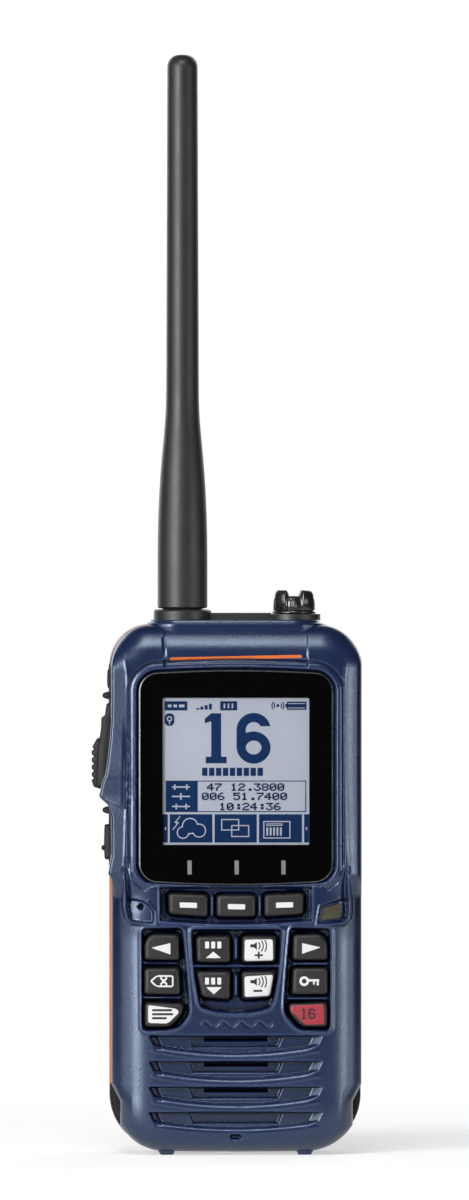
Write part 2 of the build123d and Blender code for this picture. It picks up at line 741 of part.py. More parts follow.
    # speaker slots, each with a deeper middle, and a slit through the upper ones
    for row in range(SLOT_COUNT):
        top = SLOT_TOP - row * SLOT_PITCH
        with BuildSketch(face(FRONT_DEPTH - SLOT_DEPTH)):
            add(slot_outline(top, SLOT_HALF, SLOT_HEIGHT, SLOT_BULGE))
        extrude(amount=SLOT_DEPTH, mode=Mode.SUBTRACT)
        with BuildSketch(face(FRONT_DEPTH - SLOT_INNER_DEPTH)):
            add(slot_outline(top - SLOT_STEP, SLOT_INNER_HALF, SLOT_HEIGHT - SLOT_STEP, SLOT_BULGE / 2))
        extrude(amount=SLOT_INNER_DEPTH, mode=Mode.SUBTRACT)
        if row < SLOT_COUNT - 1:
            with BuildSketch(face(FACE_INSIDE)):
                add(panel(-SLIT_HALF, SLIT_HALF, top - 2 * SLOT_STEP - SLIT_HEIGHT, top - 2 * SLOT_STEP))
            extrude(amount=FACE_WALL, mode=Mode.SUBTRACT)
    with BuildSketch(face(FRONT_DEPTH - SLOT_DEPTH)):
        add(panel(-DRAIN_WIDTH / 2, DRAIN_WIDTH / 2, DRAIN_Z - DRAIN_HEIGHT / 2, DRAIN_Z + DRAIN_HEIGHT / 2))
    extrude(amount=SLOT_DEPTH, mode=Mode.SUBTRACT)
    # side recess for the rubber panel, and the openings for the side buttons
    with BuildSketch(side(-CASE_HALF)):
        add(panel(-PANEL_FRONT, -PANEL_BACK, PANEL_LOW, PANEL_HIGH, KEY_CORNER_R))
    extrude(amount=PANEL_DEPTH, mode=Mode.SUBTRACT)
    with BuildSketch(side(-CASE_HALF)):
        for opening in SIDE_OPENINGS:
            add(side_opening(opening))
    extrude(amount=WALL, mode=Mode.SUBTRACT)
    # holes in the deck for the antenna socket and the jack, which also has a seat for its ring
    with BuildSketch(deck(CASE_INSIDE_TOP)):
        with Locations((ANTENNA_X, -ANTENNA_DEPTH)):
            Circle(SOCKET_R + GLUE_GAP)
        with Locations((JACK_X, -ANTENNA_DEPTH)):
            Circle(JACK_R + GLUE_GAP)
    extrude(amount=DECK_TOP - CASE_INSIDE_TOP, mode=Mode.SUBTRACT)
    with BuildSketch(deck(JACK_RING_LOW)):
        with Locations((JACK_X, -ANTENNA_DEPTH)):
            Circle(JACK_RING_R + GLUE_GAP)
    extrude(amount=DECK_TOP - JACK_RING_LOW, mode=Mode.SUBTRACT)
save(front_case, "front_case")

# ---------------------------------------------------------------- rear case
COVER_AXIS_DEPTH = HEAD_DEPTH - COVER_BARREL_R
RECESS_FLOOR = HEAD_DEPTH - COVER_RECESS_DEPTH
FLOOR_INSIDE = RECESS_FLOOR - COVER_FLOOR
SWITCH_STACK = KEY_FLANGE_GAP + DISTRESS_FLANGE + DISTRESS_TRAVEL + MOVE_GAP + DISTRESS_SWITCH_HEIGHT
SWITCH_BOARD_BACK = FLOOR_INSIDE - SWITCH_STACK
POST_X = COVER_HALF + MOVE_GAP
LOW_SEAT = BACK_WALL - SCREW_HEAD_HEIGHT
CONTACT_XS = [(index - (CONTACT_COUNT - 1) / 2) * CONTACT_PITCH for index in range(CONTACT_COUNT)]

with BuildPart() as rear_case:
    with BuildSketch(face(0)):
        add(case_slice(TOE_HEIGHT + PACK_GAP, CASE_TOP))
    extrude(amount=-REAR_DEPTH)
    with BuildSketch(face(0)):
        add(case_slice(CASE_BOTTOM, TOE_HEIGHT + PACK_GAP, TOE_RIM))
    extrude(amount=-BACK_WALL)
    with BuildSketch(face(-REAR_DEPTH)):
        add(case_slice(HEAD_LOW, CASE_TOP))
    extrude(amount=-(HEAD_DEPTH - REAR_DEPTH))
    fillet(rear_case.edges().group_by(Axis.Y)[-1], BACK_EDGE_R)
    # hollow inside, deeper in the head
    with BuildSketch(face(0)):
        add(case_slice(TOE_HEIGHT + PACK_GAP + BACK_WALL, CASE_TOP, WALL))
    extrude(amount=-SEAT_DEPTH, mode=Mode.SUBTRACT)
    with BuildSketch(face(0)):
        add(case_slice(HEAD_LOW + BACK_WALL, CASE_TOP, WALL))
    extrude(amount=-(HEAD_DEPTH - BACK_WALL), mode=Mode.SUBTRACT)
    # well for the distress key with its cover, and the posts that carry its switch
    with BuildSketch(face(-FLOOR_INSIDE)):
        add(
            panel(
                -COVER_HALF - COVER_FLOOR,
                COVER_HALF + COVER_FLOOR,
                HEAD_LOW + BACK_WALL / 2,
                COVER_HIGH + COVER_BARREL_R + COVER_FLOOR,
            )
        )
    extrude(amount=-(HEAD_DEPTH - BACK_WALL / 2 - FLOOR_INSIDE))
    with BuildSketch(face(-HEAD_DEPTH)):
        add(
            panel(
                -COVER_HALF - MOVE_GAP,
                COVER_HALF + MOVE_GAP,
                COVER_LOW - MOVE_GAP,
                COVER_HIGH + COVER_BARREL_R + MOVE_GAP,
            )
        )
    extrude(amount=COVER_RECESS_DEPTH, mode=Mode.SUBTRACT)
    with BuildSketch(face(-HEAD_DEPTH)):
        with Locations((0, DISTRESS_Z)):
            Circle(DISTRESS_R + MOVE_GAP)
    extrude(amount=HEAD_DEPTH - FLOOR_INSIDE, mode=Mode.SUBTRACT)
    with BuildSketch(side(-COVER_HALF - COVER_FLOOR)):
        with Locations((COVER_AXIS_DEPTH, COVER_HIGH)):
            Circle(COVER_PIN_R + GLUE_GAP)
    extrude(amount=2 * (COVER_HALF + COVER_FLOOR), mode=Mode.SUBTRACT)
    with BuildSketch(face(-FLOOR_INSIDE)):
        with Locations((-POST_X, DISTRESS_Z), (POST_X, DISTRESS_Z)):
            Circle(POST_R)
    extrude(amount=FLOOR_INSIDE - SWITCH_BOARD_BACK)
    # columns and seats for the case screws
    with BuildSketch(face(0)):
        with Locations(*HIGH_SCREWS):
            Circle(COLUMN_R)
    extrude(amount=-(HEAD_DEPTH - BACK_WALL / 2))
    with BuildSketch(face(-HIGH_SEAT)):
        with Locations(*HIGH_SCREWS):
            Circle(SCREW_HEAD_R + MOVE_GAP)
    extrude(amount=-(HEAD_DEPTH - HIGH_SEAT), mode=Mode.SUBTRACT)
    with BuildSketch(face(-LOW_SEAT)):
        with Locations(*LOW_SCREWS):
            Circle(SCREW_HEAD_R + MOVE_GAP)
    extrude(amount=-SCREW_HEAD_HEIGHT, mode=Mode.SUBTRACT)
    with BuildSketch(face(0)):
        with Locations(*SCREW_PLACES):
            Circle(SCREW_R + MOVE_GAP)
    extrude(amount=-HIGH_SEAT, mode=Mode.SUBTRACT)
    # holes for the power contacts
    with BuildSketch(face(0)):
        with Locations(*[(x, CONTACT_Z) for x in CONTACT_XS]):
            Circle(CONTACT_R + GLUE_GAP)
    extrude(amount=-REAR_DEPTH, mode=Mode.SUBTRACT)
    # lug with a hole for a wrist strap
    with BuildSketch(side(LUG_X)):
        with Locations((HEAD_DEPTH + LUG_REACH / 2 - LUG_ROOT / 2, LUG_Z)):
            RectangleRounded(LUG_REACH + LUG_ROOT, 2 * (LUG_HOLE_R + LUG_WALL), LUG_WALL)
        with Locations((HEAD_DEPTH + LUG_REACH - LUG_WALL - LUG_HOLE_R, LUG_Z)):
            Circle(LUG_HOLE_R, mode=Mode.SUBTRACT)
    extrude(amount=LUG_THICKNESS)
save(rear_case, "rear_case")

with BuildPart() as case_gasket:
    with BuildSketch(face(0)):
        add(case_outline(GASKET_INSET + GLUE_GAP))
        add(case_outline(GASKET_INSET + GASKET_WIDTH - GLUE_GAP), mode=Mode.SUBTRACT)
    extrude(amount=GASKET_HEIGHT)
save(case_gasket, "case_gasket")

with BuildPart() as case_screws:
    for places, seat in ((HIGH_SCREWS, HIGH_SEAT), (LOW_SCREWS, LOW_SEAT)):
        with BuildSketch(face(-seat)):
            with Locations(*places):
                Circle(SCREW_HEAD_R)
        extrude(amount=-SCREW_HEAD_HEIGHT)
        with BuildSketch(face(-seat)):
            with Locations(*places):
                Circle(SCREW_R)
        extrude(amount=seat + SCREW_BITE)
        with BuildSketch(face(-seat - SCREW_HEAD_HEIGHT / 3)):
            with Locations(*places):
                RegularPolygon(SCREW_SOCKET_R, 6)
        extrude(amount=-SCREW_HEAD_HEIGHT, mode=Mode.SUBTRACT)
save(case_screws, "case_screws")

# ---------------------------------------------------------------- window and display
with BuildPart() as window_pane:
    with BuildSketch(face(WINDOW_BACK)):
        add(window_outline(-GLUE_GAP))
    extrude(amount=WINDOW_THICKNESS)
save(window_pane, "window_pane")

with BuildPart() as window_adhesive:
    with BuildSketch(face(WINDOW_SEAT)):
        add(window_outline(-MOVE_GAP))
        add(
            panel(
                -VIEW_WIDTH / 2 - VIEW_MARGIN,
                VIEW_WIDTH / 2 + VIEW_MARGIN,
                VIEW_LOW - VIEW_MARGIN,
                VIEW_HIGH + VIEW_MARGIN,
            ),
            mode=Mode.SUBTRACT,
        )
    extrude(amount=ADHESIVE_THICKNESS)
save(window_adhesive, "window_adhesive")

with BuildPart() as display:
    with BuildSketch(face(BOARD_FRONT)):
        add(panel(-DISPLAY_WIDTH / 2, DISPLAY_WIDTH / 2, DISPLAY_LOW, DISPLAY_HIGH))
    extrude(amount=FACE_INSIDE - DISPLAY_GAP - BOARD_FRONT)
    chamfer(display.edges().group_by(Axis.Y)[0], DISPLAY_GAP)
save(display, "display")

# ---------------------------------------------------------------- keys and keypad mat
for item in KEYS:
    with BuildPart() as key_cap:
        with BuildSketch(face(KEY_BACK)):
            add(key_outline(item))
        extrude(amount=KEY_TOP - KEY_BACK)
        fillet(key_cap.edges().group_by(Axis.Y)[0], KEY_TOP_R)
        with BuildSketch(face(KEY_BACK)):
            add(key_outline(item, KEY_FLANGE))
        extrude(amount=KEY_FLANGE_THICKNESS)
    save(key_cap, item["name"])

PAD_HALF = OUTER_KEY_X + OUTER_KEY_WIDTH / 2 + MAT_MARGIN
PAD_LOW = OUTER_ROW_Z[2] - OUTER_ROW_HEIGHT[2] / 2 - MAT_MARGIN
PAD_HIGH = OUTER_ROW_Z[0] + OUTER_ROW_HEIGHT[0] / 2 + MAT_MARGIN
SOFT_HALF = SOFT_KEY_PITCH + SOFT_KEY_WIDTH / 2 + MAT_MARGIN
SOFT_HIGH = SOFT_KEY_Z + SOFT_KEY_RISE + SOFT_KEY_HEIGHT / 2 + MAT_MARGIN

with BuildPart() as keypad_mat:
    with BuildSketch(face(BOARD_FRONT)):
        add(panel(-PAD_HALF, PAD_HALF, PAD_LOW, PAD_HIGH))
        add(panel(-SOFT_HALF, SOFT_HALF, PAD_HIGH, SOFT_HIGH))
        with Locations((0, SPEAKER_Z)):
            Circle(SPEAKER_R + MOVE_GAP, mode=Mode.SUBTRACT)
    extrude(amount=MAT_THICKNESS)
    with BuildSketch(face(BOARD_FRONT)):
        with Locations(*[(item["x"], item["z"]) for item in KEYS]):
            Circle(MAT_PEG_R)
    extrude(amount=PEG_FRONT - BOARD_FRONT)
save(keypad_mat, "keypad_mat")

# ---------------------------------------------------------------- strobe and microphone
with BuildPart() as strobe_lens:
    with BuildSketch(face(FACE_INSIDE)):
        add(strobe_outline(-GLUE_GAP))
    extrude(amount=FACE_WALL - POCKET_DEPTH)
    with BuildSketch(face(FACE_INSIDE)):
        add(strobe_outline(STROBE_FLANGE))
    extrude(amount=-STROBE_FLANGE)
    with BuildSketch(face(FACE_INSIDE - STROBE_FLANGE)):
        with Locations((STROBE_X, STROBE_Z)):
            Circle(STROBE_LED_SIZE / 2)
    extrude(amount=-(FACE_INSIDE - STROBE_FLANGE - BOARD_FRONT - STROBE_LED_HEIGHT - MOVE_GAP))
save(strobe_lens, "strobe_lens")

with BuildPart() as strobe_light:
    with BuildSketch(face(BOARD_FRONT)):
        with Locations((STROBE_X, STROBE_Z)):
            Rectangle(STROBE_LED_SIZE, STROBE_LED_SIZE)
    extrude(amount=STROBE_LED_HEIGHT)
save(strobe_light, "strobe_light")

with BuildPart() as microphone:
    with BuildSketch(face(BOARD_FRONT)):
        with Locations((MIC_X, MIC_Z)):
            Circle(MIC_R - GLUE_GAP)
    extrude(amount=MIC_HEIGHT)
save(microphone, "microphone")

with BuildPart() as microphone_boot:
    with BuildSketch(face(BOARD_FRONT)):
        with Locations((MIC_X, MIC_Z)):
            Circle(MIC_R + MIC_BOOT_WALL)
            Circle(MIC_R, mode=Mode.SUBTRACT)
    extrude(amount=FACE_INSIDE - BOARD_FRONT)
save(microphone_boot, "microphone_boot")

# ---------------------------------------------------------------- speaker
GASKET_FRONT = FACE_INSIDE - MEMBRANE_THICKNESS
SPEAKER_FRONT = GASKET_FRONT - SPEAKER_GASKET_THICKNESS
SPEAKER_BACK = SPEAKER_FRONT - SPEAKER_DEPTH
SPEAKER_PLACE = (0, SPEAKER_Z)

with BuildPart() as speaker_membrane:
    with BuildSketch(face(GASKET_FRONT)):
        with Locations(SPEAKER_PLACE):
            Circle(SPEAKER_R)
    extrude(amount=MEMBRANE_THICKNESS)
save(speaker_membrane, "speaker_membrane")

with BuildPart() as speaker_gasket:
    with BuildSketch(face(SPEAKER_FRONT)):
        with Locations(SPEAKER_PLACE):
            Circle(SPEAKER_R)
            Circle(SPEAKER_R - SPEAKER_GASKET_WIDTH, mode=Mode.SUBTRACT)
    extrude(amount=SPEAKER_GASKET_THICKNESS)
save(speaker_gasket, "speaker_gasket")

with BuildPart() as speaker_frame:
    with BuildSketch(face(SPEAKER_BACK)):
        with Locations(SPEAKER_PLACE):
            Circle(SPEAKER_R)
    extrude(amount=SPEAKER_DEPTH)
    with BuildSketch(face(SPEAKER_BACK + SPEAKER_WALL)):
        with Locations(SPEAKER_PLACE):
            Circle(SPEAKER_R - SPEAKER_WALL)
    extrude(amount=SPEAKER_DEPTH - SPEAKER_WALL, mode=Mode.SUBTRACT)
    with BuildSketch(face(SPEAKER_BACK)):
        with Locations(SPEAKER_PLACE):
            Circle(MAGNET_R)
    extrude(amount=-MAGNET_DEPTH)
save(speaker_frame, "speaker_frame")

CONE_AXIS = Plane(
    origin=(MID_X, SEAM_Y - SPEAKER_BACK - SPEAKER_WALL, SPEAKER_Z), x_dir=(1, 0, 0), z_dir=(0, 0, 1)
)
with BuildPart() as speaker_cone:
    with BuildSketch(CONE_AXIS):
        with BuildLine():
            Polyline(
                (0, 0),
                (MAGNET_R - SPEAKER_WALL, 0),
                (SPEAKER_R - SPEAKER_WALL - GLUE_GAP, -SPEAKER_DEPTH + SPEAKER_WALL),
                (SPEAKER_R - 2 * SPEAKER_WALL, -SPEAKER_DEPTH + SPEAKER_WALL),
                (MAGNET_R - 2 * SPEAKER_WALL, -SPEAKER_WALL),
                (0, -SPEAKER_WALL),
                close=True,
            )
        make_face()
    revolve(axis=Axis((MID_X, SEAM_Y, SPEAKER_Z), (0, 1, 0)))
save(speaker_cone, "speaker_cone")

# ---------------------------------------------------------------- main board and what stands on it
with BuildPart() as main_board:
    with BuildSketch(face(BOARD_BACK)):
        add(panel(-BOARD_HALF, BOARD_HALF, BOARD_LOW, BOARD_HIGH))
    extrude(amount=BOARD_THICKNESS)
save(main_board, "main_board")

with BuildPart() as radio_shield:
    with BuildSketch(face(BOARD_BACK)):
        add(panel(SHIELD_X - SHIELD_WIDTH / 2, SHIELD_X + SHIELD_WIDTH / 2, SHIELD_LOW, SHIELD_HIGH))
    extrude(amount=-SHIELD_HEIGHT)
    with BuildSketch(face(BOARD_BACK)):
        add(
            panel(
                SHIELD_X - SHIELD_WIDTH / 2 + SHIELD_WALL,
                SHIELD_X + SHIELD_WIDTH / 2 - SHIELD_WALL,
                SHIELD_LOW + SHIELD_WALL,
                SHIELD_HIGH - SHIELD_WALL,
            )
        )
    extrude(amount=-(SHIELD_HEIGHT - SHIELD_WALL), mode=Mode.SUBTRACT)
save(radio_shield, "radio_shield")

with BuildPart() as position_antenna:
    with BuildSketch(face(BOARD_BACK)):
        with Locations((PATCH_X, PATCH_Z)):
            Rectangle(PATCH_SIZE, PATCH_SIZE)
    extrude(amount=-PATCH_THICKNESS)
save(position_antenna, "position_antenna")

with BuildPart() as power_contacts:
    with BuildSketch(face(BOARD_BACK)):
        with Locations((0, CONTACT_Z)):
            Rectangle((CONTACT_COUNT - 1) * CONTACT_PITCH + CONTACT_BLOCK_HEIGHT, CONTACT_BLOCK_HEIGHT)
    extrude(amount=-(BOARD_BACK + SEAT_DEPTH))
    with BuildSketch(face(-SEAT_DEPTH)):
        with Locations(*[(x, CONTACT_Z) for x in CONTACT_XS]):
            Circle(CONTACT_R)
    extrude(amount=-(BACK_WALL + PACK_GAP / 2))
save(power_contacts, "power_contacts")

# ---------------------------------------------------------------- left side: panel, buttons, switches
FLANGE_OUTER = -SIDE_INSIDE + KEY_FLANGE_GAP
FLANGE_INNER = FLANGE_OUTER + SIDE_FLANGE_THICKNESS
SWITCH_TOP = FLANGE_INNER + PTT_TRAVEL + MOVE_GAP
SIDE_BOARD_X = -SIDE_INSIDE + SIDE_BOARD_GAP

with BuildPart() as side_panel:
    with BuildSketch(side(-CASE_HALF - PANEL_PROUD)):
        add(
            panel(
                -PANEL_FRONT + GLUE_GAP,
                -PANEL_BACK - GLUE_GAP,
                PANEL_LOW + GLUE_GAP,
                PANEL_HIGH - GLUE_GAP,
                KEY_CORNER_R,
            )
        )
        for opening in SIDE_OPENINGS:
            add(side_opening(opening), mode=Mode.SUBTRACT)
    extrude(amount=PANEL_DEPTH + PANEL_PROUD)
    with BuildSketch(side(-CASE_HALF)):
        with Locations(
            (-(PANEL_FRONT + PANEL_BACK) / 2, UPPER_PIP_Z),
            (-(PANEL_FRONT + PANEL_BACK) / 2, LOWER_PIP_Z),
        ):
            SlotOverall(PIP_LENGTH, 2 * PIP_R)
    extrude(amount=-PIP_REACH)
save(side_panel, "side_panel")

with BuildPart() as talk_button:
    with BuildSketch(face(PTT_BACK)):
        with BuildLine():
            Polyline(
                (FLANGE_INNER, PTT_HIGH),
                *[(-CASE_HALF - reach, PTT_HIGH - drop) for reach, drop in PTT_STEPS],
                (-CASE_HALF - PTT_REACH, PTT_LOW + PTT_TOE_HEIGHT),
                (-CASE_HALF - PTT_TOE_REACH, PTT_LOW),
                (FLANGE_INNER, PTT_LOW),
                close=True,
            )
        make_face()
    extrude(amount=PTT_FRONT - PTT_BACK)
    front_and_back = talk_button.edges().group_by(Axis.Y)
    rims = front_and_back[0] + front_and_back[-1]
    chamfer([edge for edge in rims if edge.center().X < MID_X - CASE_HALF - PTT_REACH / 2], PTT_EDGE)
    with BuildSketch(face(PTT_BACK)):
        with Locations((-CASE_HALF - PTT_REACH, PTT_RIB_MID)):
            with GridLocations(PTT_REACH, PTT_RIB_PITCH, 1, PTT_RIBS):
                Circle(PTT_RIB_R)
    extrude(amount=PTT_FRONT - PTT_BACK, mode=Mode.SUBTRACT)
    with BuildSketch(face(PTT_BACK - SIDE_FLANGE)):
        add(panel(FLANGE_OUTER, FLANGE_INNER, PTT_LOW - SIDE_FLANGE, PTT_HIGH + SIDE_FLANGE))
    extrude(amount=PTT_FRONT - PTT_BACK + 2 * SIDE_FLANGE)
save(talk_button, "talk_button")

for name, low, high, reach in (
    ("upper_side_key", UPPER_KEY_LOW, UPPER_KEY_HIGH, UPPER_KEY_REACH),
    ("lower_side_key", LOWER_KEY_LOW, LOWER_KEY_HIGH, LOWER_KEY_REACH),
):
    with BuildPart() as side_key:
        with BuildSketch(side(FLANGE_INNER)):
            add(panel(-SIDE_KEY_FRONT, -SIDE_KEY_BACK, low, high, KEY_CORNER_R))
        extrude(amount=-(CASE_HALF + reach + FLANGE_INNER))
        fillet(side_key.edges().group_by(Axis.X)[0], SIDE_KEY_EDGE_R)
        with BuildSketch(side(FLANGE_INNER)):
            add(
                panel(
                    -SIDE_KEY_FRONT - SIDE_FLANGE,
                    -SIDE_KEY_BACK + SIDE_FLANGE,
                    low - SIDE_FLANGE,
                    high + SIDE_FLANGE,
                )
            )
        extrude(amount=-SIDE_FLANGE_THICKNESS)
        if name == "lower_side_key":
            with BuildSketch(side(-CASE_HALF)):
                with Locations((-(SIDE_KEY_FRONT + SIDE_KEY_BACK) / 2, LOWER_KEY_PIP_Z)):
                    SlotOverall(PIP_LENGTH, 2 * PIP_R)
            extrude(amount=-(reach + LOWER_PIP_REACH))
    save(side_key, name)

with BuildPart() as side_switches:
    with BuildSketch(side(SIDE_BOARD_X)):
        add(panel(-BOARD_BACK, -RIM_THICKNESS - MOVE_GAP, PANEL_LOW, UPPER_KEY_HIGH - MOVE_GAP))
    extrude(amount=SIDE_BOARD_THICKNESS)
    with BuildSketch(side(SIDE_BOARD_X)):
        for back, front, low, high in SIDE_OPENINGS:
            with Locations((-(back + front) / 2, (low + high) / 2)):
                Rectangle(SWITCH_SIZE, SWITCH_SIZE)
    extrude(amount=-(SIDE_BOARD_X - SWITCH_TOP))
save(side_switches, "side_switches")

# ---------------------------------------------------------------- antenna and its socket
ANTENNA_PLACE = (ANTENNA_X, -ANTENNA_DEPTH)
ANTENNA_HALF_PLANE = Plane(
    origin=(MID_X + ANTENNA_X, SEAM_Y - ANTENNA_DEPTH, 0), x_dir=(1, 0, 0), z_dir=(0, -1, 0)
)
ANTENNA_BORE_R = SOCKET_R + FIT_GAP
ORING_Z = RING_TOP + SEAL_GAP + ORING_WIRE_R

with BuildPart() as antenna_socket:
    with BuildSketch(deck(CASE_INSIDE_TOP)):
        with Locations(ANTENNA_PLACE):
            Circle(SOCKET_FLANGE_R)
    extrude(amount=-SOCKET_FLANGE_HEIGHT)
    with BuildSketch(deck(CASE_INSIDE_TOP)):
        with Locations(ANTENNA_PLACE):
            Circle(SOCKET_R)
    extrude(amount=SOCKET_TOP - CASE_INSIDE_TOP)
    with BuildSketch(deck(CASE_INSIDE_TOP)):
        with Locations(ANTENNA_PLACE):
            Circle(SOCKET_BORE_R)
    extrude(amount=SOCKET_TOP - CASE_INSIDE_TOP, mode=Mode.SUBTRACT)
save(antenna_socket, "antenna_socket")

with BuildPart() as antenna:
    with BuildSketch(ANTENNA_HALF_PLANE):
        with BuildLine():
            Polyline(
                (0, ANTENNA_TIP),
                (0, SOCKET_TOP + MOVE_GAP),
                (ANTENNA_BORE_R, SOCKET_TOP + MOVE_GAP),
                (ANTENNA_BORE_R, ORING_Z + ORING_WIRE_R + SEAL_GAP),
                (ORING_R + ORING_WIRE_R + MOVE_GAP, ORING_Z + ORING_WIRE_R + SEAL_GAP),
                (ORING_R + ORING_WIRE_R + MOVE_GAP, ANTENNA_FOOT),
                (ANTENNA_BASE_R - ANTENNA_LIP, ANTENNA_FOOT),
                (ANTENNA_BASE_R, ANTENNA_FOOT + ANTENNA_LIP),
                (ANTENNA_BASE_R, ANTENNA_SHOULDER),
            )
            Spline(
                (ANTENNA_BASE_R, ANTENNA_SHOULDER),
                (ANTENNA_SHOULDER_R, ANTENNA_BEND),
                (ANTENNA_NECK_R, ANTENNA_NECK),
                tangents=((0, 1), (0, 1)),
            )
            Line((ANTENNA_NECK_R, ANTENNA_NECK), (ANTENNA_THIN_R, ANTENNA_TIP - ANTENNA_TIP_R))
            RadiusArc(
                (ANTENNA_THIN_R, ANTENNA_TIP - ANTENNA_TIP_R),
                (ANTENNA_THIN_R - ANTENNA_TIP_R, ANTENNA_TIP),
                -ANTENNA_TIP_R,
            )
            Line((ANTENNA_THIN_R - ANTENNA_TIP_R, ANTENNA_TIP), (0, ANTENNA_TIP))
        make_face()
    revolve(axis=Axis((MID_X + ANTENNA_X, SEAM_Y - ANTENNA_DEPTH, 0), (0, 0, 1)))
save(antenna, "antenna")

with BuildPart() as antenna_oring:
    with BuildSketch(ANTENNA_HALF_PLANE):
        with Locations((ORING_R, ORING_Z)):
            Circle(ORING_WIRE_R)
    revolve(axis=Axis((MID_X + ANTENNA_X, SEAM_Y - ANTENNA_DEPTH, 0), (0, 0, 1)))
save(antenna_oring, "antenna_oring")

# ---------------------------------------------------------------- jack, its cap and the tether
JACK_PLACE = (JACK_X, -ANTENNA_DEPTH)
JACK_TOP = JACK_RING_LOW - GLUE_GAP
CAP_STEM_R = JACK_BORE_R - FIT_GAP
CAP_SEAL_R = JACK_COUNTER_R - MOVE_GAP - CAP_SEAL_WIRE_R
SEAL_GROOVE_HALF = CAP_SEAL_WIRE_R + MOVE_GAP

with BuildPart() as jack_socket:
    with BuildSketch(deck(JACK_BASE)):
        with Locations(JACK_PLACE):
            Circle(JACK_R)
    extrude(amount=JACK_TOP - JACK_BASE)
    with BuildSketch(deck(CASE_INSIDE_TOP)):
        with Locations(JACK_PLACE):
            Circle(JACK_FLANGE_R)
    extrude(amount=-JACK_FLANGE_HEIGHT)
    with BuildSketch(deck(JACK_TAIL_LOW)):
        with Locations((JACK_X, -BOARD_BACK + JACK_TAIL_THICKNESS / 2)):
            Rectangle(JACK_TAIL_WIDTH, JACK_TAIL_THICKNESS)
    extrude(amount=JACK_BASE - JACK_TAIL_LOW)
    with BuildSketch(deck(JACK_BORE_LOW)):
        with Locations(JACK_PLACE):
            Circle(JACK_BORE_R)
    extrude(amount=JACK_TOP - JACK_BORE_LOW, mode=Mode.SUBTRACT)
    with BuildSketch(deck(JACK_COUNTER_LOW)):
        with Locations(JACK_PLACE):
            Circle(JACK_COUNTER_R)
    extrude(amount=JACK_TOP - JACK_COUNTER_LOW, mode=Mode.SUBTRACT)
save(jack_socket, "jack_socket")

with BuildPart() as jack_cap:
    with BuildSketch(deck(CAP_LOW)):
        with Locations(JACK_PLACE):
            Circle(CAP_R)
    extrude(amount=CAP_STEP - CAP_LOW)
    chamfer(jack_cap.edges().group_by(Axis.Z)[-1], CAP_EDGE)
    with BuildSketch(deck(CAP_LOW)):
        with Locations(JACK_PLACE):
            Circle(CAP_CORE_R)
            with PolarLocations(CAP_CORE_R, CAP_RIB_COUNT, start_angle=180 / CAP_RIB_COUNT):
                Circle(CAP_RIB_R)
    extrude(amount=CAP_CORE_TOP - CAP_LOW)
    with BuildSketch(deck(CAP_LOW)):
        with Locations(JACK_PLACE):
            with GridLocations(2 * CAP_PRONG_PLACE, 2 * CAP_PRONG_PLACE, 2, 2):
                Circle(CAP_PRONG_R)
    extrude(amount=CAP_PRONG_TOP - CAP_LOW)
    chamfer(jack_cap.edges().group_by(Axis.Z)[-1], CAP_EDGE)
    # neck, seal groove and stem
    with BuildSketch(deck(CAP_LOW)):
        with Locations(JACK_PLACE):
            Circle(CAP_NECK_R)
    extrude(amount=-(CAP_LOW - CAP_SEAL_Z - SEAL_GROOVE_HALF))
    with BuildSketch(deck(CAP_LOW)):
        with Locations(JACK_PLACE):
            Circle(CAP_SEAL_R - CAP_SEAL_WIRE_R - SEAL_GAP)
    extrude(amount=-(CAP_LOW - CAP_STEM_LOW))
    with BuildSketch(deck(CAP_STEM_LOW)):
        with Locations(JACK_PLACE):
            Circle(CAP_STEM_R)
    extrude(amount=CAP_SEAL_Z - SEAL_GROOVE_HALF - CAP_STEM_LOW)
save(jack_cap, "jack_cap")

with BuildPart() as jack_cap_seal:
    with BuildSketch(face(ANTENNA_DEPTH)):
        with Locations((JACK_X + CAP_SEAL_R, CAP_SEAL_Z)):
            Circle(CAP_SEAL_WIRE_R)
    revolve(axis=Axis((MID_X + JACK_X, SEAM_Y - ANTENNA_DEPTH, 0), (0, 0, 1)))
save(jack_cap_seal, "jack_cap_seal")

with BuildPart() as cap_tether:
    with BuildSketch(deck(DECK_TOP)):
        with Locations(ANTENNA_PLACE):
            Circle(RING_R)
    extrude(amount=RING_TOP - DECK_TOP)
    chamfer(cap_tether.edges().group_by(Axis.Z)[-1], RING_EDGE)
    with BuildSketch(deck(JACK_RING_LOW)):
        with Locations(JACK_PLACE):
            Circle(JACK_RING_R)
    extrude(amount=JACK_RING_TOP - JACK_RING_LOW)
    with BuildSketch(deck(DECK_TOP)):
        with Locations(((ANTENNA_X + JACK_X - CAP_R - MOVE_GAP) / 2, -ANTENNA_DEPTH)):
            Rectangle(JACK_X - CAP_R - MOVE_GAP - ANTENNA_X, STRAP_WIDTH)
    extrude(amount=STRAP_THICKNESS)
    with BuildSketch(deck(JACK_RING_LOW)):
        with Locations(ANTENNA_PLACE):
            Circle(SOCKET_R + RING_HOLE_GAP)
        with Locations(JACK_PLACE):
            Circle(CAP_NECK_R + RING_HOLE_GAP)
    extrude(amount=RING_TOP - JACK_RING_LOW, mode=Mode.SUBTRACT)
save(cap_tether, "cap_tether")

